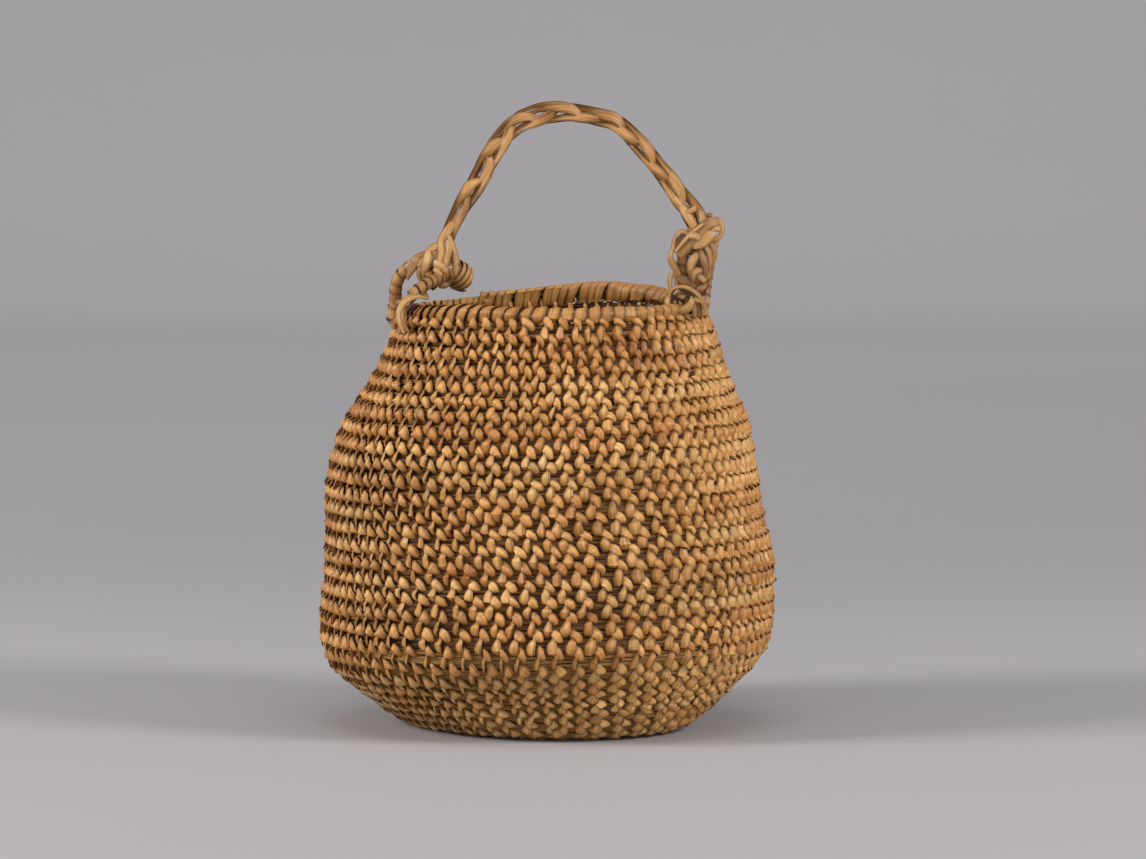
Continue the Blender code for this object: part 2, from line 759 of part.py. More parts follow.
def right_plaited_tail(material, group):
    """The right end of the plait, lying down along the front of the ear's outer leg."""
    outer_leg = RIGHT_PIVOT + Vector((RIGHT_EAR_WIDTH / 2, 0, 0))
    front = EAR_RADIUS + EAR_CLEARANCE + PLAITED_TAIL_THICKNESS / 2
    top = outer_leg + Vector((0, -front, -KNOT_OUTER - PLAITED_TAIL_THICKNESS))
    line = [
        top + Vector((PLAITED_TAIL_WIDTH * u, 0, PLAITED_TAIL_LENGTH * v))
        for u, v in PLAITED_TAIL_SHARES
    ]
    points = curve_through(line, PLAITED_TAIL_WIDTH / 2)
    facing = [Vector((0, -1, 0))] * len(points)
    wave = FULL_TURN * PLAITED_TAIL_WAVES / (len(points) - 1)
    draw = PLAITED_TAIL_DRAW_SHARE
    scales = [1 - draw + draw * math.cos(wave * i) for i in range(len(points))]
    return strip(
        "right_plaited_tail",
        points,
        facing,
        PLAITED_TAIL_WIDTH,
        PLAITED_TAIL_THICKNESS,
        material,
        group,
        scales,
    )


def right_curl(material, group):
    """A strip end curled to an open ring against the front of the rim."""
    angle = math.radians(CURL_ANGLE_DEG)
    facing_angle = math.radians(CURL_FACING_DEG)
    turn = rim_turn_at(CURL_ANGLE_DEG)
    centre = rim_place(turn, RIM_RADIUS)
    out = Vector((math.cos(angle), math.sin(angle), 0))
    axis = Vector((math.cos(facing_angle), math.sin(facing_angle), 0))
    across = Vector((-axis.y, axis.x, 0))
    lean = (CURL_RADIUS + CURL_THICKNESS / 2) * abs(out.dot(across))
    lean += CURL_WIDTH / 2 * abs(out.dot(axis))
    centre += out * (RIM_RADIUS + SEAT_GAP + lean)
    route, facing = [], []
    for i in range(CURL_STEPS + 1):
        around = math.radians(CURL_START_DEG) + FULL_TURN * CURL_TURNS * i / CURL_STEPS
        spoke = across * math.cos(around) + Vector((0, 0, 1)) * math.sin(around)
        route.append(centre + spoke * CURL_RADIUS)
        facing.append(spoke)
    return strip("right_curl", route, facing, CURL_WIDTH, CURL_THICKNESS, material, group)


def main():
    clear_scene()
    group = make_collection(PART_NAME)
    coil = straw("coil_straw", (0.50, 0.31, 0.12), 0.62)
    rim = straw("rim_straw", (0.46, 0.27, 0.10), 0.58)
    ear = straw("ear_straw", (0.45, 0.27, 0.11), 0.60)
    core = straw("stem_bundle", (0.40, 0.24, 0.11), 0.70)
    leaf = straw("handle_leaf", (0.56, 0.37, 0.15), 0.52)

    start_knot(core, group)
    first = 0
    for seams, (name, share) in enumerate(zip(COIL_LENGTHS, COIL_END_SHARES)):
        last = round(share * WALL_TURNS)
        coil_wall(name, seams, first, last - first, coil, group)
        first = last
    rim_coil(rim, group)

    for side, controls in (("left", left_ear_route()), ("right", right_ear_route())):
        route = curve_through(controls, EAR_POINT_PITCH)
        tube(f"{side}_ear_core", route, EAR_CORE_RADIUS, core, group)
        wrap_strip(f"{side}_ear_wrap", route, ear, group)

    for number in range(STRAND_COUNT):
        plait_strand(f"handle_strand_{number + 1}", number, leaf, group)
    knot("left_knot", LEFT_PIVOT, LEFT_KNOT_TURNS, leaf, group)
    knot("right_knot", RIGHT_PIVOT, RIGHT_KNOT_TURNS, leaf, group)
    left_tail_coil(leaf, group)
    right_neck_wrap(leaf, group)
    right_plaited_tail(leaf, group)
    right_curl(leaf, group)
    print("turns", WALL_TURNS, "pitch", round(PITCH / MM, 3), "mm")
    print("left pivot", [round(v, 5) for v in LEFT_PIVOT], "axis", [round(v, 5) for v in AXIS])
    print("right pivot", [round(v, 5) for v in RIGHT_PIVOT])


main()
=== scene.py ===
"""Looks of a small coiled basket with two wrapped ears and a plaited bail handle.

The basket is one bundle of stems wound in a spiral and sewn with split leaf, round by
round. Every stitch, stem, wrap and leaf here is a strip of its own: a straight strip is
made once with mesh operators, and then bent onto its route over the basket's wall.
"""

from __future__ import annotations

import logging
import math
from collections.abc import Mapping, Sequence
from dataclasses import dataclass, field
from enum import Enum

import bmesh
import bpy
import numpy as np
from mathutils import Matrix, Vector

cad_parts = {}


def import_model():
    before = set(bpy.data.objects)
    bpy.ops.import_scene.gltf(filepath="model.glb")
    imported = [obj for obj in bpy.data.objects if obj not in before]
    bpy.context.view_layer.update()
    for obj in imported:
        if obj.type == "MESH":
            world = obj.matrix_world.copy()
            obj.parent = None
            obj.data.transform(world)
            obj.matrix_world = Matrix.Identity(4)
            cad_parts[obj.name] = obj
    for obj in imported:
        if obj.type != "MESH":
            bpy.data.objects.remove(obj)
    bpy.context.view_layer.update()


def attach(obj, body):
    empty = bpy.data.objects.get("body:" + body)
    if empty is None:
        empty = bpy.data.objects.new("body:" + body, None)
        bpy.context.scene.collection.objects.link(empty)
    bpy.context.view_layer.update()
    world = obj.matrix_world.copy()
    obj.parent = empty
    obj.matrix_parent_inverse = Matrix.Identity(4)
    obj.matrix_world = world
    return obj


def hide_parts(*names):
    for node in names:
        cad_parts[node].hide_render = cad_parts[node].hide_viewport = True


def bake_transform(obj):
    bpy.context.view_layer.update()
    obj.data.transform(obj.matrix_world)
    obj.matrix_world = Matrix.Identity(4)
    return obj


MM = 0.001
TURN = 2 * math.pi
DOWN = np.array((0.0, 0.0, -1.0))
LEAF_THICKNESS = 0.5 * MM
LOG = logging.getLogger("basket")

Array = np.ndarray
Place = tuple[float, float, float]
Colour = Place
Rows = Sequence[Sequence[float]]
Straw = Array | Sequence[float]


class Body(Enum):
    """The body that a piece moves with."""

    BASKET = "basket"
    HANDLE = "handle"


class Face(Enum):
    """Which way the broad side of a knotted leaf looks."""

    VIEWER = "viewer"
    OUTWARD = "outward"


class Sock:
    """One output of a shader node. Arithmetic on it adds Math nodes."""

    def __init__(self, tree: bpy.types.NodeTree, socket: bpy.types.NodeSocket) -> None:
        """Keep the tree and the output that later nodes link to."""
        self.tree = tree
        self.socket = socket

    def maths(self, operation: str, *values: Sock | float, clamp: bool = False) -> Sock:
        """Add one Math node.

        Args:
            operation: the node's operation.
            values: its inputs in order, as outputs or numbers.
            clamp: whether the result is kept between 0 and 1.

        Returns:
            The node's output.
        """
        node = self.tree.nodes.new("ShaderNodeMath")
        node.operation = operation
        node.use_clamp = clamp
        for socket, value in zip(node.inputs, values):
            feed(socket, value)
        return Sock(self.tree, node.outputs[0])

    def __add__(self, other: Sock | float) -> Sock:
        """Sum."""
        return self.maths("ADD", self, other)

    def __sub__(self, other: Sock | float) -> Sock:
        """Difference."""
        return self.maths("SUBTRACT", self, other)

    def __rsub__(self, other: float) -> Sock:
        """Difference from a number."""
        return self.maths("SUBTRACT", other, self)

    def __mul__(self, other: Sock | float) -> Sock:
        """Product."""
        return self.maths("MULTIPLY", self, other)

    __radd__ = __add__
    __rmul__ = __mul__

    def clamped(self) -> Sock:
        """The value kept between 0 and 1."""
        return self.maths("ADD", self, 0.0, clamp=True)

    def step(self, low: float, high: float) -> Sock:
        """A smooth step from 0 at low to 1 at high."""
        node = self.tree.nodes.new("ShaderNodeMapRange")
        node.interpolation_type = "SMOOTHSTEP"
        self.tree.links.new(self.socket, node.inputs["Value"])
        node.inputs["From Min"].default_value = low
        node.inputs["From Max"].default_value = high
        return Sock(self.tree, node.outputs["Result"])


Value = Sock | float | Sequence[float]


def feed(socket: bpy.types.NodeSocket, value: Value) -> None:
    """Link an output to a node's input, or set what the input holds."""
    if isinstance(value, Sock):
        value.tree.links.new(value.socket, socket)
    else:
        socket.default_value = value


class Shader:
    """A material with a Principled surface, built up node by node."""

    def __init__(self, name: str) -> None:
        """Start an empty material of this name."""
        self.material = bpy.data.materials.new(name)
        self.material.use_nodes = True
        self.tree = self.material.node_tree
        self.surface = self.tree.nodes["Principled BSDF"]

    def node(
        self,
        kind: str,
        settings: Mapping[str, object],
        values: Mapping[str | int, Value],
        output: str | int = 0,
    ) -> Sock:
        """Add a node of any kind.

        Args:
            kind: the node's type.
            settings: its properties, set first. "stops" sets a ramp's places and colours.
            values: what each input socket holds or is linked to.
            output: the output that is wanted.

        Returns:
            That output.
        """
        node = self.tree.nodes.new(kind)
        for key, value in settings.items():
            if key == "stops":
                ramp = node.color_ramp
                while len(ramp.elements) < len(value):
                    ramp.elements.new(1.0)
                for element, (place, colour) in zip(ramp.elements, value):
                    element.position = place
                    element.color = (*colour, 1)
            else:
                setattr(node, key, value)
        for key, value in values.items():
            feed(node.inputs[key], value)
        return Sock(self.tree, node.outputs[output])

    def split(self, vector: Sock) -> tuple[Sock, Sock, Sock]:
        """The three parts of a vector."""
        first = self.node("ShaderNodeSeparateXYZ", {}, {0: vector})
        outputs = first.socket.node.outputs
        return first, Sock(self.tree, outputs[1]), Sock(self.tree, outputs[2])

    def join(self, x: Sock | float, y: Sock | float, z: Sock | float) -> Sock:
        """A vector from three parts."""
        return self.node("ShaderNodeCombineXYZ", {}, {0: x, 1: y, 2: z})

    def noise(self, at: Sock, scale: float, detail: float = 2.0) -> Sock:
        """Smooth noise between 0 and 1 at a place."""
        values = {"Vector": at, "Scale": scale, "Detail": detail, "Roughness": 0.6}
        return self.node("ShaderNodeTexNoise", {"noise_dimensions": "3D"}, values)

    def mix(self, share: Sock, under: Value, over: Value) -> Sock:
        """Colour between two colours, by a share of the second."""
        ends = [value if isinstance(value, Sock) else (*value, 1) for value in (under, over)]
        values = {0: share, 6: ends[0], 7: ends[1]}
        return self.node("ShaderNodeMix", {"data_type": "RGBA"}, values, 2)

    def shade(self, colour: Sock, strength: Sock) -> Sock:
        """A colour made darker or lighter by a number."""
        values = {0: colour, "Scale": strength}
        return self.node("ShaderNodeVectorMath", {"operation": "SCALE"}, values)

    def finish(self, **sockets: Sock | float) -> bpy.types.Material:
        """Set the surface's sockets by name, with _ for a space."""
        for key, value in sockets.items():
            feed(self.surface.inputs[key.replace("_", " ")], value)
        return self.material


@dataclass(frozen=True)
class FibreFinish:
    """Dry plant fibre: drifting tones, fine fibre lines, painted highlight streaks, painted shade
    at its edges and a soft sheen.

    A strip's UV map "leaf" runs across it from 0 to 1 on its face, from 1 to 2 on its
    back, and along it in centimetres. Its attribute "straw" holds tone, green and lot.
    """

    name: str
    slot: str
    tones: tuple[Colour, Colour, Colour, Colour, Colour]
    green: Colour = (0.45, 0.265, 0.078)
    fibres: float = 9.0
    relief: float = 0.45 * MM
    roughness: float = 0.34
    gloss: float = 0.4
    painted_highlight_streaks: float = 0.4
    edge_shade: float = 0.5
    stops: tuple[float, ...] = (0.0, 0.28, 0.52, 0.78, 1.0)

    def material(self) -> bpy.types.Material:
        """Build the material's nodes: tone and its drift, fibre lines and ribs, painted highlight
        streaks and painted shade at the edges.
        """
        shader = Shader(self.name)
        leaf = shader.node("ShaderNodeUVMap", {"uv_map": "leaf"}, {})
        across, along, _ = shader.split(leaf)
        settings = {"attribute_name": "straw", "attribute_type": "GEOMETRY"}
        straw = shader.node("ShaderNodeAttribute", settings, {}, "Vector")
        tone, green, lot = shader.split(straw)
        place = shader.node("ShaderNodeTexCoord", {}, {}, "Object")

        fine = shader.join(across * self.fibres, along * 0.9, lot * 61.0)
        fine = shader.noise(fine, 1.0, 3.0)
        broad = shader.join(across * 2.6, along * 0.5, lot * 37.0 + 5.0)
        broad = shader.noise(broad, 1.0)
        drift = shader.noise(place, 38.0)
        speck = shader.join(across * 3.0, along * 9.0, lot * 83.0)
        speck = shader.noise(speck, 1.6).step(0.69, 0.76)

        blend = tone + (broad - 0.5) * 0.42 + (drift - 0.5) * 0.62
        stops = tuple(zip(self.stops, self.tones))
        colour = shader.node("ShaderNodeValToRGB", {"stops": stops}, {0: blend})
        colour = shader.mix((green * 0.65).clamped(), colour, self.green)
        colour = shader.mix(speck * 0.55, colour, self.tones[4])

        # Painted highlight: pale straw streaks on the fibre ridges, fainter on the darker tones.
        painted_highlight = (1.15 - blend).clamped() * self.painted_highlight_streaks
        colour = shader.mix(fine.step(0.55, 0.68) * painted_highlight, colour, self.tones[0])

        # Painted shade: the strip darkens toward both edges. The same factor also carries the
        # fibre ribs and the broad tone.
        middle = across.maths("PINGPONG", across, 1.0).maths("PINGPONG", across, 0.5) * 2.0
        edge = 1.0 - middle.step(0.0, 0.62)
        rib = fine.step(0.38, 0.56)
        light = 0.54 + rib * 0.4 + broad * 0.28 - edge * self.edge_shade
        colour = shader.shade(colour, light)

        height = fine * 0.75 + broad * 0.25
        values = {"Strength": 0.75, "Distance": self.relief, "Height": height}
        bump = shader.node("ShaderNodeBump", {}, values)
        return shader.finish(
            Base_Color=colour,
            Roughness=self.roughness + (0.5 - fine) * 0.22 + speck * 0.1,
            Normal=bump,
            Specular_IOR_Level=self.gloss,
        )


@dataclass(frozen=True)
class StageFinish:
    """A plain grey paper cove, its greys set by depth in shares of its run."""

    name: str = "grey_paper"
    front: float = -0.6
    run: float = 3.6
    tint: Colour = (1, 0.958, 0.978)
    greys: Rows = (
        (0.075, 0.352), (0.158, 0.369), (0.275, 0.405), (0.325, 0.42), (0.375, 0.456),
        (0.433, 0.515), (0.5, 0.59), (0.583, 0.67), (0.694, 0.78), (0.806, 0.82), (0.986, 0.64),
    )

    def material(self) -> bpy.types.Material:
        """Build the paper's nodes, with a faint mottle."""
        shader = Shader(self.name)
        place = shader.node("ShaderNodeTexCoord", {}, {}, "Object")
        _, depth, _ = shader.split(place)
        share = (depth - self.front) * (1 / self.run)
        stops = tuple((at, tuple(grey * part for part in self.tint)) for at, grey in self.greys)
        colour = shader.node("ShaderNodeValToRGB", {"stops": stops}, {0: share})
        mottle = shader.noise(place, 3.0)
        colour = shader.shade(colour, 0.985 + mottle * 0.03)
        return shader.finish(Base_Color=colour, Roughness=0.9, Specular_IOR_Level=0.1)


STITCH_STRAW = FibreFinish(
    "stitch_straw",
    "coil_straw",
    (
        (0.69, 0.376, 0.128), (0.575, 0.272, 0.076), (0.47, 0.192, 0.046), (0.35, 0.12, 0.028),
        (0.15, 0.042, 0.016),
    ),
)
RIM_STRAW = FibreFinish(
    "rim_straw",
    "rim_straw",
    (
        (0.56, 0.3, 0.095), (0.45, 0.208, 0.054), (0.35, 0.142, 0.034), (0.24, 0.082, 0.02),
        (0.11, 0.034, 0.013),
    ),
    fibres=12.0,
)
EAR_STRAW = FibreFinish(
    "ear_straw",
    "ear_straw",
    (
        (0.56, 0.33, 0.135), (0.45, 0.235, 0.082), (0.35, 0.16, 0.05), (0.25, 0.098, 0.03),
        (0.13, 0.046, 0.018),
    ),
    fibres=14.0,
)
HANDLE_LEAF = FibreFinish(
    "handle_leaf",
    "handle_leaf",
    (
        (0.64, 0.37, 0.145), (0.525, 0.262, 0.084), (0.395, 0.172, 0.05), (0.23, 0.085, 0.026),
        (0.08, 0.027, 0.013),
    ),
    green=(0.41, 0.265, 0.08),
    fibres=11.0,
    gloss=0.46,
    edge_shade=0.52,
)
# The stems' tones are very dark: partly their own brown, partly painted shade for the gaps
# between stitches where they show.
STEMS = FibreFinish(
    "stem_bundle",
    "stem_bundle",
    (
        (0.19, 0.086, 0.028), (0.11, 0.045, 0.015), (0.066, 0.025, 0.009), (0.04, 0.014, 0.006),
        (0.022, 0.008, 0.004),
    ),
    green=(0.42, 0.23, 0.072),
    fibres=4.0,
    roughness=0.6,
    gloss=0.12,
    edge_shade=0.0,
)


class Ripple:
    """A smooth wave of a few frequencies, the same each time the script runs."""

    def __init__(self, seed: int, *waves: float) -> None:
        """Draw a phase for each frequency."""
        self.waves = waves
        self.phases = np.random.default_rng(seed).uniform(0, TURN, len(waves))

    def __call__(self, at: Array) -> Array:
        """The wave's height, mostly between -1 and 1, at some places."""
        total = sum(np.sin(at * w + p) for w, p in zip(self.waves, self.phases))
        return total / math.sqrt(len(self.waves))


def cubic(rows: Rows, at: Array) -> Array:
    """Read a table of (place, value) rows by a cubic through its rows.

    Args:
        rows: the table.
        at: where to read it.

    Returns:
        The values there.
    """
    places, values = np.array(rows, float).T
    last = len(places) - 1
    i = np.clip(np.searchsorted(places, at, side="right") - 1, 0, last - 1)
    before, after = np.maximum(i - 1, 0), np.minimum(i + 2, last)
    span = places[i + 1] - places[i]
    s = np.clip((at - places[i]) / span, 0, 1)
    slope_in = (values[i + 1] - values[before]) / (places[i + 1] - places[before]) * span
    slope_out = (values[after] - values[i]) / (places[after] - places[i]) * span
    low, rise = 2 * s**3 - 3 * s**2 + 1, s**3 - 2 * s**2 + s
    start = low * values[i] + rise * slope_in
    return start + (1 - low) * values[i + 1] + (s**3 - s**2) * slope_out


def curve(points: Array, spacing: float) -> Array:
    """Evenly spaced rows along a smooth curve through some rows.

    Args:
        points: rows whose first three columns are a place. Others are carried along.
        spacing: the wanted distance between rows.

    Returns:
        The rows along the curve.
    """
    ends = np.vstack([points[:1], points, points[-1:]])
    s = np.linspace(0, 1, 14, endpoint=False)[:, None]
    dense = [
        here * (1.5 * s**3 - 2.5 * s**2 + 1)
        + there * (2 * s**2 - 1.5 * s**3 + 0.5 * s)
        + before * (s**2 - 0.5 * s**3 - 0.5 * s)
        + after * (0.5 * s**3 - 0.5 * s**2)
        for before, here, there, after in zip(ends[:-3], ends[1:-2], ends[2:-1], ends[3:])
    ]
    rows = np.vstack([*dense, points[-1:]])
    lengths = travelled(rows[:, :3])
    at = np.linspace(0, lengths[-1], max(4, round(lengths[-1] / spacing) + 1))
    return np.column_stack([np.interp(at, lengths, rows[:, k]) for k in range(rows.shape[1])])


def travelled(places: Array) -> Array:
    """Distance along a route at each of its places."""
    steps = np.linalg.norm(np.diff(places, axis=0), axis=1)
    return np.concatenate([[0.0], np.cumsum(steps)])


def unit(vectors: Array) -> Array:
    """Vectors at length 1."""
    return vectors / np.maximum(np.linalg.norm(vectors, axis=-1, keepdims=True), 1e-12)


def ramp(at: Array | float, start: float, width: float) -> Array:
    """A straight ramp from 0 at its start to 1 at its end, backward for a width below 0."""
    return np.clip((at - start) / width, 0, 1)


def swung(first: Array, second: Array, angle: Array) -> Array:
    """Directions at some angles from the first of two toward the second."""
    return first * np.cos(angle) + second * np.sin(angle)


def headings(places: Array) -> Array:
    """The direction of travel at each place of a route."""
    return unit(np.gradient(places, axis=0))


def carried(places: Array, start: Sequence[float]) -> tuple[Array, Array]:
    """Two cross directions carried along a route without twist.

    Args:
        places: the route.
        start: a direction that the first cross direction is square to.

    Returns:
        The two directions at each place.
    """
    ahead = headings(places)
    side = np.cross(ahead[0], start)
    sides = []
    for direction in ahead:
        side = side - direction * side.dot(direction)
        side = side / np.linalg.norm(side)
        sides.append(side)
    sides = np.array(sides)
    return sides, np.cross(sides, ahead)


@dataclass(frozen=True)
class Section:
    """The cross shape of a strip: points round it, and how far round each one is, up to 2."""

    points: tuple[tuple[float, float], ...]
    around: tuple[float, ...]


SEWN = Section(((1, 0), (0.58, 0.9), (-0.64, 0.7), (-1, 0), (0, -1)), (0, 0.21, 0.82, 1, 1.5))
FLAT = Section(
    ((1, 0), (0.5, 0.8), (-0.5, 0.8), (-1, 0), (-0.5, -0.8), (0.5, -0.8)),
    (0, 0.25, 0.75, 1, 1.25, 1.75),
)


def round_section(sides: int) -> Section:
    """A round stem's section with this many sides."""
    turns = [TURN * i / sides for i in range(sides)]
    points = tuple((math.cos(turn), math.sin(turn)) for turn in turns)
    return Section(points, tuple(2 * i / sides for i in range(sides)))


STEM = round_section(5)
CORE = round_section(6)


class Band:
    """A straight closed strip with evenly spaced stations, kept for bending onto routes."""

    kept: dict[tuple[Section, int], Band] = {}

    def __init__(self, section: Section, stations: int) -> None:
        """Spin the section straight along Z and close its ends."""
        bm = bmesh.new()
        ring = [bm.verts.new((x, y, 0)) for x, y in section.points]
        edges = [bm.edges.new((ring[i - 1], ring[i])) for i in range(len(ring))]
        bmesh.ops.spin(
            bm,
            geom=ring + edges,
            cent=(0, 0, 0),
            axis=(0, 0, 1),
            dvec=(0, 0, 1),
            angle=0,
            steps=stations - 1,
        )
        open_edges = [edge for edge in bm.edges if edge.is_boundary]
        bmesh.ops.holes_fill(bm, edges=open_edges, sides=0)
        bmesh.ops.recalc_face_normals(bm, faces=bm.faces)
        self.mesh = bpy.data.meshes.new("band")
        bm.to_mesh(self.mesh)
        bm.free()
        flat = np.zeros(len(self.mesh.vertices) * 3)
        self.mesh.vertices.foreach_get("co", flat)
        self.x, self.y, height = flat.reshape(-1, 3).T
        self.station = np.rint(height).astype(int)
        self.share = self.station / (stations - 1)
        points = np.array(section.points)
        near = (self.x[:, None] - points[:, 0]) ** 2 + (self.y[:, None] - points[:, 1]) ** 2
        self.around = np.array(section.around)[near.argmin(axis=1)]

    @classmethod
    def of(cls, section: Section, stations: int) -> Band:
        """The kept strip of this section and number of stations, made on first use."""
        key = (section, stations)
        if key not in cls.kept:
            cls.kept[key] = cls(section, stations)
        return cls.kept[key]

    @classmethod
    def clear(cls) -> None:
        """Drop the straight strips once every piece is made."""
        for band in cls.kept.values():
            bpy.data.meshes.remove(band.mesh)
        cls.kept.clear()


@dataclass
class Piece:
    """One object put together from bent strips."""

    name: str
    body: Body
    finish: FibreFinish
    nodes: tuple[str, ...] = ()
    bm: bmesh.types.BMesh = field(default_factory=bmesh.new)
    parts: list[tuple[Array, Array, Array, Array, Array]] = field(default_factory=list)
    give: tuple[Sequence[float], Sequence[float]] | None = None

    def add(self, band: Band, places: Array, lengths: Array, straw: Straw) -> None:
        """Take a copy of a straight strip and keep where its points go.

        Args:
            band: the straight strip.
            places: a place for each of its points.
            lengths: the distance along the route at each point.
            straw: its tone, green and lot, once or at each point.
        """
        self.bm.from_mesh(band.mesh)
        straws = np.broadcast_to(straw, (len(places), 3))
        self.parts.append((places, band.around, lengths, band.share, straws))

    def ribbon(
        self,
        places: Array,
        facing: Array,
        width: Array | float,
        thickness: float,
        straw: Straw,
        cup: float = 0.0,
        section: Section = FLAT,
    ) -> None:
        """Add a strip along a route.

        Args:
            places: its centre line.
            facing: the way its broad side looks, once or at each place.
            width: its width, once or at each place.
            thickness: its thickness.
            straw: its tone, green and lot.
            cup: how far its edges bend back, as a share of half its width.
            section: its cross shape.
        """
        band = Band.of(section, len(places))
        ahead = headings(places)
        face = unit(facing - ahead * np.sum(facing * ahead, axis=1, keepdims=True))
        side = np.cross(face, ahead)
        half = np.broadcast_to(np.asarray(width, float) / 2, len(places))[band.station]
        across = band.x * half
        lift = band.y * thickness / 2 - cup * half * band.x**2
        at = band.station
        bent = places[at] + side[at] * across[:, None] + face[at] * lift[:, None]
        self.add(band, bent, travelled(places)[at], straw)

    def dress(self) -> bpy.types.Object:
        """Turn the strips into an object with its maps and finish; it joins its body unless it
        has a give.

        Returns:
            The object.
        """
        mesh = bpy.data.meshes.new(self.name)
        self.bm.to_mesh(mesh)
        self.bm.free()
        places, around, lengths, shares, straws = (
            np.concatenate([part[k] for part in self.parts]) for k in range(5)
        )
        mesh.vertices.foreach_set("co", places.astype(np.float32).ravel())
        tints = mesh.attributes.new("straw", "FLOAT_VECTOR", "POINT")
        tints.data.foreach_set("vector", straws.astype(np.float32).ravel())

        corners = self.read(mesh.loops, "vertex_index")
        starts, totals = (self.read(mesh.polygons, f"loop_{part}") for part in ("start", "total"))
        turn = around[corners]
        highest = np.repeat(np.maximum.reduceat(turn, starts), totals)
        turn = np.where((highest - turn > 1.0) & np.repeat(totals == 4, totals), turn + 2, turn)
        leaf = np.column_stack([turn, lengths[corners] * 100])
        self.write_map(mesh, "leaf", leaf)
        self.write_map(mesh, "OFBake", self.sheet(turn, shares[corners], corners))

        mesh.shade_smooth()
        mesh.set_sharp_from_angle(angle=math.radians(55))
        mesh.validate()
        thing = bpy.data.objects.new(self.name, mesh)
        bpy.context.scene.collection.objects.link(thing)
        thing.data.materials.append(MATERIALS[self.finish.name])
        if self.give:
            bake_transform(thing)
        else:
            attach(thing, self.body.value)
        if self.nodes:
            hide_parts(*self.nodes)
        LOG.info("%s: %d strips, %d triangles", self.name, len(self.parts), np.sum(totals - 2))
        return thing

    def sheet(self, turn: Array, share: Array, corners: Array) -> Array:
        """Lay every strip flat in a cell of its own on one square.

        Args:
            turn: how far round its strip each corner is.
            share: how far along its strip each corner is.
            corners: each corner's point.

        Returns:
            The corners' places on the square.
        """
        owner = np.repeat(np.arange(len(self.parts)), [len(part[0]) for part in self.parts])
        long = np.median([part[2].max() for part in self.parts])
        columns = max(1, round(math.sqrt(len(self.parts) * 6 * MM / max(long, MM))))
        rows = math.ceil(len(self.parts) / columns)
        cell = owner[corners]
        across = (cell % columns + 0.05 + 0.9 * share) / columns
        up = (cell // columns + 0.06 + 0.44 * np.minimum(turn, 2)) / rows
        return np.column_stack([across, up])

    @staticmethod
    def read(items: bpy.types.bpy_prop_collection, name: str) -> Array:
        """One whole number of each of a mesh's corners or faces."""
        values = np.zeros(len(items), np.int32)
        items.foreach_get(name, values)
        return values

    @staticmethod
    def write_map(mesh: bpy.types.Mesh, name: str, places: Array) -> None:
        """Write a UV map."""
        layer = mesh.uv_layers.new(name=name)
        layer.data.foreach_set("uv", places.astype(np.float32).ravel())


MATERIALS: dict[str, bpy.types.Material] = {}


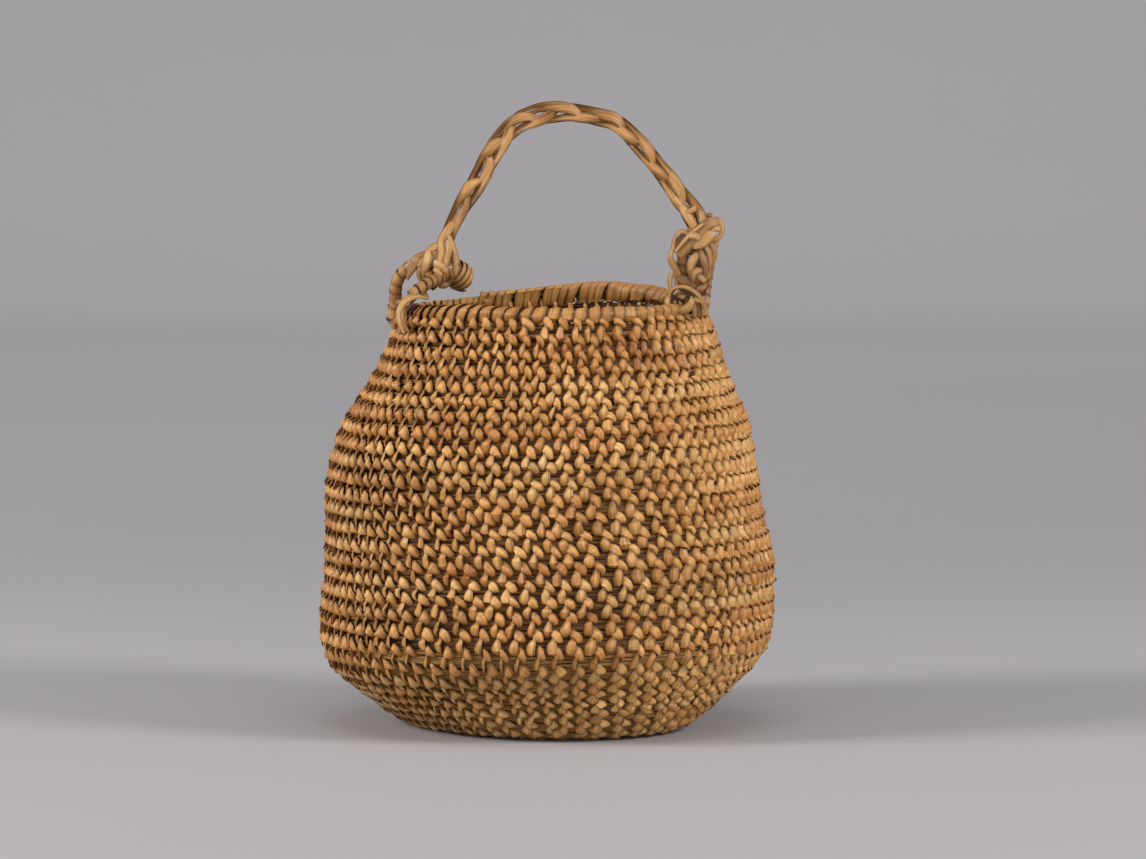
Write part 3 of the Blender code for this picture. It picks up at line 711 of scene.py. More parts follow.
@dataclass
class WallForm:
    """The middle of the basket's wall, read by length up its outline and angle round it.

    The outline, lean, swells and dents are shares of the belly's radius and the height.
    """

    belly: float = 80.2 * MM
    height: float = 153.5 * MM
    crest: float = 2.3 * MM
    start: float = 3.2 * MM
    round_height: float = 6.0 * MM
    turns: int = 35
    rim_radius: float = 2.9 * MM
    seat: float = 0.3 * MM
    first_angle: float = math.radians(114)
    depth_share: float = 0.97
    outline: Rows = (
        (0.605, 0.015), (0.667, 0.026), (0.729, 0.053), (0.8, 0.088), (0.877, 0.124),
        (0.945, 0.16), (0.988, 0.205), (1, 0.261), (0.995, 0.339), (0.988, 0.417), (0.968, 0.495),
        (0.953, 0.586), (0.92, 0.671), (0.878, 0.739), (0.813, 0.798), (0.764, 0.853),
        (0.721, 0.909), (0.685, 0.961), (0.667, 1), (0.66, 1.06),
    )
    lean: Rows = (
        (0, -0.026), (0.12, -0.018), (0.25, 0.006), (0.4, 0.02), (0.52, -0.006), (0.63, -0.01),
        (0.73, 0.006), (0.83, 0.026), (0.92, 0.038), (1.06, 0.034),
    )
    swells: Rows = ((-52, 38, 0.15), (-148, 34, -0.11))
    swell_height: float = 0.17
    raised: Place = (236, 46, 1.6 * MM)
    dents: Rows = ((-97, 30, 0.135, 0.062, -0.05), (-92, 40, 0.225, 0.05, 0.017))
    sway: float = 0.36 * MM
    sway_start: float = 60 * MM
    sway_fade: float = 25 * MM

    def __post_init__(self) -> None:
        """Trace the outline once."""
        shares = np.array(self.outline)
        stations = np.column_stack(
            [shares[:, 0] * self.belly, shares[:, 1] * self.height, np.zeros(len(shares))]
        )
        stations[0, 1] = self.crest
        traced = curve(stations, self.round_height / 6)
        self.radii = np.concatenate([[0.0], traced[:, 0]])
        self.heights = np.concatenate([[self.crest], traced[:, 1]])
        line = np.column_stack([self.radii, self.heights, np.zeros(len(self.radii))])
        self.lengths = travelled(line)
        self.edge = np.interp(self.height - self.round_height, self.heights, self.lengths)
        self.rise = (self.edge - self.start) / self.turns
        self.out_ripple = Ripple(3, 3.0, 7.0, 13.0)
        self.up_ripple = Ripple(4, 2.0, 5.0, 11.0)

    def middle(self, length: Array, angle: Array) -> Array:
        """Places on the middle of the wall.

        Args:
            length: distance along the outline from the middle of the base.
            angle: angle round the basket.

        Returns:
            The places.
        """
        radius = np.interp(length, self.lengths, self.radii)
        height = np.interp(length, self.lengths, self.heights)
        height = height + np.maximum(length - self.lengths[-1], 0)
        share = height / self.height
        crest, half, lift = self.raised
        top = np.clip(share * 4 - 3, 0, 1)
        height = height + lift * top**2 * self.hump(angle, crest, half)
        low = np.clip(1 - share / self.swell_height, 0, 1)
        low = low * low * (3 - 2 * low)
        for centre, half, swell in self.swells:
            radius = radius * (1 + swell * low * self.hump(angle, centre, half))
        for centre, half, at, half_height, depth in self.dents:
            fade = np.exp(-(((share - at) / half_height) ** 2))
            radius = radius + depth * self.belly * fade * self.hump(angle, centre, half)
        lean = cubic(self.lean, share) * self.belly * np.minimum(1, length / self.edge * 4)
        parts = (lean + radius * np.cos(angle), self.depth_share * radius * np.sin(angle), height)
        return np.stack(parts, axis=-1)

    @staticmethod
    def hump(angle: Array, centre: float, half: float) -> Array:
        """A smooth hump round an angle given in degrees, 1 in its middle."""
        nearest = (np.degrees(angle) - centre + 180) % 360 - 180
        return np.exp(-((nearest / half) ** 2))

    def outward(self, length: Array, angle: Array) -> Array:
        """The way the wall's outside looks at some places."""
        nudge, turn = 0.3 * MM, 1 / 28
        under = np.maximum(length - nudge, 0)
        up = self.middle(length + nudge, angle) - self.middle(under, angle)
        on = self.middle(length, angle + turn) - self.middle(length, angle - turn)
        return unit(np.cross(on, up))

    def beside_coil(
        self, turn: Array | float, along: Array | float, up: Array | float, out: Array
    ) -> Array:
        """Places beside the spiral coil.

        Args:
            turn: turns along the coil from its start.
            along: distance further along it.
            up: distance up the wall from the coil's middle.
            out: distance outward from the wall's middle.

        Returns:
            The places.
        """
        reach = np.interp(self.start + (turn + 0.5) * self.rise, self.lengths, self.radii)
        at = turn + along / (TURN * np.maximum(reach, self.start))
        length = np.maximum(self.start + (at + 0.5) * self.rise + up, 0.1 * MM)
        angle = self.first_angle + TURN * at
        sway = ramp(length, self.sway_start, self.sway_fade) * self.sway
        length = length + sway * self.up_ripple(angle + length * 140)
        out = out + sway * self.out_ripple(angle + length * 260)
        places = self.middle(length, angle) + self.outward(length, angle) * out[..., None]
        places[..., 2] = np.maximum(places[..., 2], 0.0)
        return places


BODY_SHAPE: Rows = (
    (0.35, -0.3, 0.3, 0.8, -0.5, 1.8), (-0.15, -0.95, 0.65, 1.05, -1.15, 2.5),
    (-0.95, -1.85, 0.95, 1.3, -2.05, 2.95), (-1.65, -2.85, 1.2, 1.4, -3.1, 3.15),
    (-1.9, -3.9, 1.25, 1.45, -4.15, 3.1), (-1.75, -4.95, 1.05, 1.4, -5.1, 2.75),
    (-1.5, -5.75, 0.4, 1.25, -5.8, 1.6), (-1.1, -6, -0.9, 1, -6, -0.5),
    (-1.1, -4.8, -2, 1, -4.8, -2), (-1, -2.8, -2.4, 1.1, -2.8, -2.4),
    (-0.7, -1, -1.9, 1.2, -1, -1.9), (-0.3, 0, -0.7, 1.1, 0, -0.7),
)
HEAD_SHAPE: Rows = (
    (0, -0.5, 1.6, -0.5, 2.75, 1.2), (0, -0.65, 2.6, 0.6, 2.55, 2.1),
    (0.1, -0.85, 3.15, 1.85, 1.8, 2.4), (0.3, -1.15, 3.25, 2.85, 0.75, 2.2),
    (0.7, -1.45, 3.05, 3.4, -0.35, 1.75), (1.2, -1.75, 2.45, 3.6, -1.3, 1.05),
    (1.5, -2.05, 1.3, 3.3, -2.05, 0),
)
"""A stitch's body, from its neck over its round and up behind it, and the head that it
is hitched with over the neck: the left and right edge's distance along the coil, up
from the groove above the round and outward, in millimetres."""


@dataclass
class SewnCoil:
    """The coil from the middle of the base to the rim: its stems and its stitches."""

    wall: WallForm
    pitch: float = 6.1 * MM
    drift: float = 1.3 * MM
    thickness: float = 0.34 * MM
    crown: float = 0.5 * MM
    stem_radius: float = 0.56 * MM
    steps_round: int = 84
    heel_top: float = 14.6
    core_width: float = 2.3 * MM
    core_height: float = 0.9 * MM
    ridge: Place = (14.27, 14.43, 14.58)
    lengths: tuple[tuple[str, float, float], ...] = (
        ("base_coil", 0, 8), ("heel_coil", 8, 14), ("belly_coil", 14, 21),
        ("body_coil", 21, 28), ("shoulder_coil", 28, 35),
    )
    stem_places: Rows = (
        (2.4, -0.25), (1.62, 0.55), (0.55, 0.95), (-0.58, 1), (-1.62, 0.6), (-2.42, -0.25),
        (-1.3, -1.15), (0.1, -1.5), (1.4, -1.05),
    )

    def __post_init__(self) -> None:
        """Place the stitches and draw how each one differs."""
        self.rng = np.random.default_rng(11)
        self.turns = self.place_stitches()
        self.habits = self.draw_habits()
        self.straws = self.straw_runs(len(self.turns))
        # Painted light: stitches up to the heel's top are made paler, to lift the shade on the
        # basket's underside.
        self.straws[:, 0] -= 0.2 * ramp(self.turns, self.heel_top, -0.8)

    def reach(self, turn: float) -> float:
        """The coil's radius at a turn."""
        wall = self.wall
        return np.interp(wall.start + (turn + 0.5) * wall.rise, wall.lengths, wall.radii)

    def place_stitches(self) -> Array:
        """Walk along the coil, each stitch caught in the one a round below it.

        Returns:
            The turn of each stitch along the coil.
        """
        turns = list(np.linspace(0, 1, 7)[:-1])
        below = 0
        while turns[-1] < self.wall.turns - 0.01:
            reach = self.reach(turns[below])
            even = self.pitch / (TURN * self.reach(turns[-1]))
            caught = turns[below] + 1 - self.drift / (TURN * reach)
            gap = caught - turns[-1]
            if gap < 0.76 * even:
                below += 1
                continue
            if gap > 1.42 * even:
                caught = turns[-1] + gap / 2
            else:
                below += 1
            jitter = self.rng.normal(0, 0.035) * even
            turns.append(caught + 0.2 * (turns[-1] + even - caught) + jitter)
        return np.array(turns)

    def straw_runs(self, count: int) -> Array:
        """Tone, green and lot of each stitch: one strip of leaf sews a run of them.

        Args:
            count: how many stitches there are.

        Returns:
            A row for each.
        """
        rows: list[Place] = []
        while len(rows) < count:
            tone = np.clip(self.rng.normal(0.36, 0.15), 0.05, 0.9)
            green = self.rng.uniform(0.25, 0.7) if self.rng.random() < 0.12 else 0.04
            for _ in range(self.rng.integers(5, 22)):
                own = tone + self.rng.normal(0, 0.07)
                rows.append((own, green * self.rng.uniform(0.6, 1.2), self.rng.random()))
        return np.array(rows[:count])

    def bent(self, chosen: Array, band: Band, rows: Rows) -> tuple[Array, Array]:
        """Bend a straight strip into one part of each of some stitches.

        Args:
            chosen: the stitches' indices.
            band: the straight strip.
            rows: the part's shape.

        Returns:
            The places of every point of every stitch, and the distances along the strip.
        """
        shape = np.array(rows) * MM
        left, right = shape[:, :3], shape[:, 3:]
        middle = (left + right) / 2
        face = unit(np.cross(headings(middle), right - left))
        share = ((1 + band.x) / 2)[:, None]
        at = band.station
        lift = np.where(band.y > 0, band.y / 0.8 * self.crown, band.y * self.thickness)
        flat = left[at] * (1 - share) + right[at] * share
        along, up, out = (flat + face[at] * lift[:, None]).T
        centre = middle[at, 0]

        turn = self.turns[chosen][:, None]
        angle = self.wall.first_angle + TURN * turn
        tight, broad, wander, sway, rise, proud, roll = self.habits[chosen].T[..., None]
        slack = np.where((turn > self.ridge[0]) & (turn < self.ridge[2]), 0.62, 1.0)
        lower = np.clip(-up / (4 * MM), 0, 1)
        along = centre * tight + (along - centre) * broad * slack
        along = along + wander * MM * lower + (sway + 0.04 - 0.06 * np.cos(angle)) * up
        up = up * (1 + 0.3 * sway) + rise * MM
        shown = np.clip(out / (1.2 * MM), 0, 1)
        out = out + shown * (proud * MM + roll * MM * band.x)
        on_base = ramp(turn, 9.6, -1.6)
        out = np.where(out > 0, out * (1 - 0.3 * on_base), out)
        places = self.wall.beside_coil(turn, along, up + self.wall.rise / 2, out)
        return places, travelled(middle)[at]

    def draw_habits(self) -> Array:
        """How each stitch differs from the next.

        Returns:
            Rows of its spacing, width, wander, sway, rise, height and roll.
        """
        count = len(self.turns)
        spacing = np.diff(self.turns, append=self.turns[-1] + 0.012)
        reach = np.array([self.reach(turn) for turn in self.turns])
        tight = np.clip(spacing * TURN * reach / self.pitch, 0.8, 1.15)
        draw = self.rng.normal
        broad = np.clip(draw(1.0, 0.1, count), 0.76, 1.22) * tight
        rest = (draw(0, spread, count) for spread in (0.24, 0.05, 0.1, 0.12, 0.24))
        return np.column_stack([tight, broad, *rest])

    def stems(self, name: str, first: float, last: float) -> None:
        """Lay the stems of one length of the coil round a core.

        Args:
            name: the CAD node's name.
            first: the turn that it starts at.
            last: the turn that it ends at.
        """
        piece = Piece(f"{name}_stems", Body.BASKET, STEMS)
        steps = round((last - first) * self.steps_round) + 1
        band = Band.of(STEM, steps)
        turn = first + (last - first) * band.share
        heel = 0.7 * np.clip((14.7 - turn) / 0.3, 0, 0.8)
        for number, (up, out) in enumerate(self.stem_places):
            drift = Ripple(40 + number, 9.0, 21.0, 33.0)
            radius = self.stem_radius * (1 + 0.12 * Ripple(60 + number, 14.0, 37.0)(turn))
            ledge = np.clip(1 - np.abs(turn - self.ridge[1]) / 0.16, 0, 1) * 0.7 * max(out, 0)
            ups = up * MM + 0.17 * MM * drift(turn * 1.3) + band.x * radius
            outs = (out + ledge) * MM + 0.16 * MM * drift(turn + 7) + band.y * radius
            tone = 0.32 + 0.25 * math.sin(number * 2.3 + first)
            tone = tone + 0.22 * Ripple(80 + number, 5.0, 12.0, 23.0)(turn)
            green = (0.25 if number % 3 == 0 else 0.05) + heel
            lot = np.full(len(turn), (number * 0.37 + first * 0.11) % 1)
            straw = np.column_stack([tone, green, lot])
            places = self.wall.beside_coil(turn, 0.0, ups, outs)
            reach = self.reach((first + last) / 2)
            piece.add(band, places, (turn - first) * TURN * reach, straw)
        band = Band.of(CORE, round((last - first) * 60) + 1)
        turn = first + (last - first) * band.share
        ups, outs = band.x * self.core_width, band.y * self.core_height
        places = self.wall.beside_coil(turn, 0.0, ups, outs)
        piece.add(band, places, turn * 0.4, (0.85, 0.0, 0.5))
        piece.dress()

    def build(self) -> None:
        """Make the stems and the stitches of each length of the coil."""
        parts = [(Band.of(SEWN, len(rows)), rows) for rows in (BODY_SHAPE, HEAD_SHAPE)]
        for name, first, last in self.lengths:
            self.stems(name, first, last)
            chosen = np.flatnonzero((self.turns >= first) & (self.turns < last))
            piece = Piece(f"{name}_stitches", Body.BASKET, STITCH_STRAW, (name,))
            for band, rows in parts:
                places, lengths = self.bent(chosen, band, rows)
                for index, spots in zip(chosen, places):
                    piece.add(band, spots, lengths, self.straws[index])
            piece.dress()


@dataclass
class CoilStart:
    """The gathered tip of the bundle, in the middle of the base."""

    wall: WallForm
    stems: int = 6
    curls: int = 4
    radius: float = 0.9 * MM

    def build(self) -> None:
        """Taper the bundle inward for a turn, and curl its tips in its middle."""
        piece = Piece("coil_start", Body.BASKET, STEMS, ("start_knot",))
        share = np.linspace(0, 1, 30)
        for number in range(self.stems + self.curls):
            curl = number - self.stems
            if curl < 0:
                turn = share - 1
                ups = (number / (self.stems - 1) - 0.5) * 5.0 * MM
            else:
                turn = share * 1.1 + curl / self.curls
                ups = (0.4 + 3.4 * share) * MM - self.wall.start - (turn + 0.5) * self.wall.rise
            outs = 0.35 * MM * np.sin(number * 1.9 + share * 5)
            places = self.wall.beside_coil(turn, 0.0, ups, outs)
            straw = (0.25 + 0.06 * number, 0.1, 0.2 * number)
            width = self.radius * (1 - 0.25 * np.abs(2 * share - 1))
            piece.ribbon(places, DOWN, width * 2, self.radius * 1.7, straw, section=STEM)
        piece.dress()


@dataclass
class WrappedRim:
    """The last turn of the bundle, wrapped over the edge with broad straps."""

    wall: WallForm
    coil: SewnCoil
    strap_radius: float = 2.62 * MM
    strap_thickness: float = 0.36 * MM
    strap_length: float = 16 * MM
    strap_sweep: tuple[float, float] = (-128, 372)
    stations: int = 17
    stems: int = 10
    stem_ring: float = 1.72 * MM
    stem_radius: float = 0.54 * MM
    core_radius: float = 1.5 * MM

    def scale(self, turn: Array) -> Array:
        """How thick the rim is at a part of its turn: slight at both ends."""
        return 1 - 0.24 * ramp(turn, 0.13, -0.05) - 0.22 * ramp(turn, 0.89, 0.11)

    def middle(self, turn: Array) -> Array:
        """How far the rim's middle is above the middle of its round."""
        seated = self.wall.seat + self.wall.rim_radius * self.scale(turn) - self.wall.rise / 2
        seated = seated - 1.3 * MM * ramp(turn, 0.86, 0.14)
        seated = seated + 1.8 * MM * np.exp(-(((turn - 0.88) / 0.075) ** 2))
        return seated + 3.0 * MM * ramp(turn, 0.13, -0.1)

    def lay_stems(self) -> None:
        """Lay the rim's stems in a ring round a core."""
        piece = Piece("rim_stems", Body.BASKET, STEMS)
        for number in range(self.stems + 1):
            core = number == self.stems
            band = Band.of(CORE if core else STEM, 90 if core else 150)
            turn = 1.004 * band.share
            angle = TURN * number / self.stems
            spread = 0 if core else self.stem_ring
            radius = self.core_radius if core else self.stem_radius
            drift = 0 if core else 0.14 * MM * Ripple(120 + number, 11.0, 27.0)(turn)
            scale = self.scale(turn)
            ups = (spread * math.cos(angle) + drift + band.x * radius) * scale
            ups = self.middle(turn) + ups
            outs = (spread * math.sin(angle) + drift + band.y * radius) * scale
            places = self.wall.beside_coil(turn + self.wall.turns, 0.0, ups, outs)
            tone = 0.85 if core else 0.3 + 0.05 * number
            piece.add(band, places, turn * 0.35, (tone, 0.1, 0.09 * number))
        piece.dress()

    def degrees(self, turn: float) -> float:
        """The angle round the basket at a part of the rim's turn, from 0 to 360."""
        return math.degrees(self.wall.first_angle + TURN * turn) % 360

    def strap_turns(self) -> list[Place]:
        """Where the straps go: each one's turn, width and slant.

        Returns:
            The rows.
        """
        rng = np.random.default_rng(23)
        rows, turn = [], 0.004
        while turn < 1.010:
            angle = self.degrees(turn)
            near = 0.5 - 0.5 * math.cos(math.radians(np.clip(angle - 180, 0, 180) * 2))
            left = 0.5 - 0.5 * math.cos(math.radians(angle)) if angle > 180 else 0.5
            pitch = (3.7 + near * (0.8 + 0.9 * left)) * MM * rng.uniform(0.88, 1.12)
            slant = 0.3 + 5.2 * left**1.5 if angle > 180 else 4.2
            wide = pitch * (rng.uniform(0.92, 1.04) if angle > 180 else rng.uniform(1.0, 1.12))
            rows.append((turn, wide, slant * MM * rng.uniform(0.8, 1.2)))
            turn += pitch / (TURN * self.coil.reach(self.wall.turns))
        return rows

    def wind_straps(self) -> None:
        """Bend a strap over the rim at each place."""
        rng = np.random.default_rng(29)
        piece = Piece("rim_straps", Body.BASKET, RIM_STRAW, ("rim_coil",))
        band = Band.of(FLAT, self.stations)
        start, sweep = self.strap_sweep
        roll = np.radians(start + sweep * band.share)
        narrow = 0.5 + 0.5 * ramp(np.degrees(roll), start, 95)
        narrow *= 0.86 + 0.14 * ramp(np.degrees(roll), 244, -70)
        round_length = TURN * self.coil.reach(self.wall.turns)
        tone = 0.4
        for number, (turn, width, slant) in enumerate(self.strap_turns()):
            if number % 9 == 0:
                tone = rng.uniform(0.25, 0.62)
            lapped = 0.42 if self.degrees(turn) > 180 else 0.22
            along = slant * (band.share - 0.42) * 2 - band.x * width / 2 * narrow
            shingle = -lapped * MM * band.x
            reach = self.strap_radius * self.scale(turn)
            reach = reach + band.y * self.strap_thickness / 2 + shingle
            reach = reach + 0.3 * MM * (1 - band.x**2) * 0.5 + rng.normal(0, 0.08) * MM
            low = 0.7 * ramp(turn, 0.79, 0.06) + 1.2 * ramp(turn, 0.9, 0.05)
            drop = 1 + low * (np.sin(roll) < 0)
            ups = self.middle(turn + along / round_length) + reach * np.sin(roll) * drop
            outs = reach * np.cos(roll)
            places = self.wall.beside_coil(turn + self.wall.turns, along, ups, outs)
            straw = (tone + rng.normal(0, 0.06), 0.05, rng.random())
            piece.add(band, places, band.share * self.strap_length, straw)
        piece.dress()

    def build(self) -> None:
        """Make the rim's stems and straps."""
        self.lay_stems()
        self.wind_straps()


@dataclass
class WoundEar:
    """An ear: a bundle bent to a loop, with a flat strip wound closely round it."""

    side: str
    route: Rows
    bundle_radius: float = 2.05 * MM
    strip_width: float = 4.0 * MM
    strip_pitch: float = 3.6 * MM
    strip_thickness: float = 0.36 * MM
    strip_tone: float = 0.42
    stems: int = 6
    stem_ring: float = 1.05 * MM
    foot: float = 0.0
    seed: int = 5

    def stoutness(self, at: Array, length: float) -> Array:
        """How thick the ear is along its length: thinner at its last foot."""
        near = ramp(at - length, -16 * MM, 9 * MM)
        return 1 - self.foot * near * near * (3 - 2 * near)

    def build(self) -> None:
        """Make the ear's stems and its wound strip."""
        line = curve(np.array(self.route) * MM, 0.7 * MM)
        sides, fronts = carried(line, (0, 1, 0.2))
        lengths = travelled(line)
        stout = self.stoutness(lengths, lengths[-1])[:, None]
        stems = Piece(f"{self.side}_ear_stems", Body.BASKET, STEMS, (f"{self.side}_ear_core",))
        for number in range(self.stems + 1):
            core = number == self.stems
            angle = TURN * number / self.stems
            spread = 0.0 if core else self.stem_ring
            places = line + spread * stout * (sides * math.cos(angle) + fronts * math.sin(angle))
            straw = (0.45 + 0.05 * number, 0.1, 0.13 * number)
            width = 2 * (0.9 if core else 0.62) * MM
            stems.ribbon(places, fronts, width * stout[:, 0], width * 0.8, straw, section=STEM)
        stems.dress()

        wrap = Piece(f"{self.side}_ear_strip", Body.BASKET, EAR_STRAW, (f"{self.side}_ear_wrap",))
        rng = np.random.default_rng(self.seed)
        turns = math.ceil(lengths[-1] / self.strip_pitch)
        share = np.linspace(0, 1.12, 18)
        for turn in range(turns):
            at = np.clip((turn + share) / turns * lengths[-1], 0, lengths[-1])
            centre, side, front = (
                np.column_stack([np.interp(at, lengths, rows[:, k]) for k in range(3)])
                for rows in (line, sides, fronts)
            )
            angle = (share * TURN + rng.normal(0, 0.12))[:, None]
            out = swung(side, front, angle)
            lift = self.bundle_radius + rng.normal(0.1, 0.05) * MM
            lift = lift * self.stoutness(at, lengths[-1])[:, None]
            places = centre + out * lift + headings(centre) * rng.normal(0, 0.2) * MM
            facing = out - headings(centre) * rng.uniform(0.03, 0.12)
            straw = (rng.normal(self.strip_tone, 0.12), 0.05, rng.random())
            width = self.strip_width * rng.uniform(0.85, 1.15)
            wrap.ribbon(places, facing, width, self.strip_thickness, straw, cup=-0.02)
        wrap.dress()


@dataclass(frozen=True)
class Sight:
    """The line of sight: turns a spot of the picture and a depth into a place."""

    width: int = 1146
    height: int = 859
    distance: float = 2.62
    eye_height: float = 0.322
    aim: Place = (0.0103, 0.0, 0.1087)
    sensor: float = 36.0
    scale: float = 0.3675 * MM

    @property
    def eye(self) -> Array:
        """Where the camera stands."""
        return np.array((self.aim[0], -self.distance, self.eye_height))

    @property
    def lens(self) -> float:
        """The lens that shows the object at the picture's scale."""
        return np.linalg.norm(self.eye - self.aim) / self.scale * self.sensor / self.width

    def places(self, spots: Array) -> Array:
        """Places seen at some spots.

        Args:
            spots: rows of a spot's column and row, and its depth in millimetres.

        Returns:
            The places.
        """
        ahead = unit(self.aim - self.eye)
        right = np.array((1.0, 0.0, 0.0))
        up = np.cross(right, ahead)
        far = self.lens * self.width / self.sensor
        across = (spots[:, :1] - self.width / 2) / far
        down = (spots[:, 1:2] - self.height / 2) / far
        rays = ahead + across * right - down * up
        depth = spots[:, 2:3] * MM
        return self.eye + rays * (depth - self.eye[1]) / rays[:, 1:2]


@dataclass(frozen=True)
class Leaf:
    """One flat leaf of a knot: spots of the picture, each with its depth and width."""

    spots: Rows
    tone: float = 0.35
    green: float = 0.32
    face: Face = Face.VIEWER
    cup: float = 0.12
    thickness: float = 0.42 * MM
    broadened: float = 1.24


def fold_leaves(piece: Piece, leaves: Sequence[Leaf], sight: Sight, heart: Place) -> None:
    """Lay some leaves over a knot.

    Args:
        piece: the piece that they become part of.
        leaves: the leaves.
        sight: the line of sight that their spots are given in.
        heart: the knot's middle, which outward faces look away from.
    """
    rng = np.random.default_rng(len(piece.name) * 7)
    for number, leaf in enumerate(leaves):
        spots = np.array(leaf.spots, float)
        rows = np.column_stack([sight.places(spots), spots[:, 3] * leaf.broadened * MM])
        rows = curve(rows, 0.55 * MM)
        away = unit(rows[:, :3] - heart)
        share = 0.35 if leaf.face is Face.VIEWER else 1.6
        facing = np.array((0.0, -1.0, 0.12)) + away * share
        straw = (leaf.tone + rng.normal(0.04, 0.07), leaf.green, (number * 0.31) % 1)
        piece.ribbon(rows[:, :3], facing, rows[:, 3], leaf.thickness, straw, cup=leaf.cup)


def turned(sides: Array, fronts: Array, tilt: Array) -> Array:
    """The way a plaited leaf looks as it tilts, on the front of the plait."""
    facing = swung(fronts, sides, tilt)
    return -facing if facing[:, 1].mean() > 0 else facing


@dataclass
class PlaitedHandle:
    """The bail: three strands of flat leaf plaited in a bow from knot to knot."""

    line: Rows = (
        (-36.64, 0, 177.85), (-34.92, 0, 182.17), (-30.81, 0, 189.85), (-26.7, 0, 197.01),
        (-20.68, 0, 207.61), (-12.07, 0, 219.27), (-3.66, 0, 223.4), (5.24, 0, 224.99),
        (11.07, 0, 224.99), (19.39, 0, 223.24), (27.23, 0, 220.86), (36.6, 0, 211.32),
        (46.16, 0, 199.13), (52.95, 0, 189.59), (56.29, 0, 183.76),
    )
    swing: float = 1.55 * MM
    depth: float = 1.4 * MM
    period: float = 50.0 * MM
    tilt: float = 1.05
    leaves: Rows = ((-0.1, 0, 3.8), (0.8, -0.5, 2.5), (-1.05, -0.4, 1.4))

    def build(self) -> None:
        """Make one piece of two or three leaves for each strand."""
        line = curve(np.array(self.line) * MM, 0.8 * MM)
        sides, fronts = carried(line, (0, 1, 0))
        lengths = travelled(line)
        for number in range(3):
            name = f"handle_strand_{number + 1}"
            piece = Piece(f"{name}_leaves", Body.HANDLE, HANDLE_LEAF, (name,))
            loose = 1 + 0.14 * Ripple(200 + number, 60.0, 130.0)(lengths)
            loose = loose * (1 + 0.26 * Ripple(199, 75.0, 170.0)(lengths))
            phase = TURN * (lengths / self.period + number / 3)
            phase = phase + 0.25 * Ripple(210 + number, 50.0, 90.0)(lengths)
            swing = (self.swing * np.tanh(2.8 * np.sin(phase)) * loose)[:, None]
            depth = (self.depth * np.sin(2 * phase))[:, None]
            tilt = (self.tilt * np.sin(phase + 0.7))[:, None]
            facing = turned(sides, fronts, tilt)
            centre = line + sides * swing + fronts * depth
            for leaf, (shift, lift, width) in enumerate(self.leaves):
                wander = Ripple(230 + number * 3 + leaf, 70.0, 150.0)(lengths)
                places = centre + sides * ((shift + 0.22 * wander) * MM)[:, None]
                places = places + facing * lift * MM
                tone, lot = 0.28 + 0.13 * leaf + 0.09 * number, 0.23 * leaf + 0.3 * number
                widths = width * MM * (1 + 0.16 * wander)
                piece.ribbon(places, facing, widths, LEAF_THICKNESS, (tone, 0.15, lot), cup=0.22)
            piece.dress()


LEFT_KNOT_LEAVES = (
    Leaf(((428.7, 246.5, -1.5, 1.2), (427.9, 252, -4.5, 2.2), (427, 259, -6.2, 3.1),
        (425, 267, -6.2, 2.9), (424, 273, -5, 2.3), (425, 279, -3.5, 1.8)), 0.22),
    Leaf(((424.5, 260, -4.5, 1.8), (421.5, 262.5, -4.6, 1.9), (418.3, 266.6, -4.2, 1.7)), 0.2),
    Leaf(((422, 266, -3.5, 1.6), (419, 270, -3.4, 1.3), (418.5, 275, -3, 1.3),
        (421, 281, -2.6, 1.2)), 0.3),
    Leaf(((430.5, 257, -3.4, 2), (431, 250, -3.8, 2.4), (434.7, 246.7, -3.5, 2.5),
        (439, 248, -3.2, 2.4), (440, 253, -3, 2.2)), 0.25),
    Leaf(((430, 262, -4.6, 1.6), (433.5, 258.3, -5, 1.8), (439, 255.5, -4.4, 1.8)), 0.3),
    Leaf(((429.5, 258, -4, 1.8), (434, 254.5, -4.6, 2), (440, 252.6, -4, 1.9))),
    Leaf(((434.3, 260.6, -8, 1.5), (437, 263.6, -8.8, 2.7), (441, 266.3, -9.4, 2.8),
        (446, 268.3, -9, 2.1), (452.5, 267.2, -7.8, 1)), 0.15),
    Leaf(((434, 268.3, -8.8, 1.4), (438, 272.3, -9.6, 1.9), (441, 275.6, -9.8, 1.6),
        (441.5, 279, -9.2, 0.7)), 0.2),
    Leaf(((444.5, 269.5, -9.4, 2.2), (449, 272, -9, 2.6), (452, 277, -7.6, 2),
        (449, 282, -6.4, 1.6)), 0.45),
    Leaf(((440, 262.5, -7.6, 1.8), (443.8, 268, -9.4, 2.4), (446.4, 274.5, -9.2, 2.5),
        (444.6, 281, -7.8, 1.7)), 0.3),
    Leaf(((455.5, 263, -5.6, 1.8), (456.5, 269, -6.6, 2.2), (454, 275.5, -7.4, 2)), 0.5),
    Leaf(((437.5, 280.5, -8.8, 1.8), (441, 284.8, -7.6, 2.2), (446, 284.5, -6.4, 2.2),
        (450, 280, -5.6, 2)), 0.6),
    Leaf(((431, 271, -3.6, 2.2), (433.5, 276, -3.8, 2), (437.5, 279.5, -3.8, 1.8)), 0.6),
    Leaf(((442, 236, -0.8, 2.2), (440.7, 243, -2.6, 2.3), (441.2, 251.7, -4.8, 2.4),
        (440, 259, -7, 2.3), (439.4, 264.5, -8.2, 1.6))),
    Leaf(((449.3, 236, -0.8, 2.1), (449.3, 243.7, -2.2, 2.3), (448.3, 251.7, -3.7, 2.3),
        (446.7, 259.5, -6.6, 2.2), (445, 265.5, -8.2, 1.6))),
    Leaf(((452, 246, -1, 1.5), (454.5, 254, -2.4, 1.7), (456, 262, -3.6, 1.8),
        (456.5, 270, -4.4, 1.8)), 0.4),
)

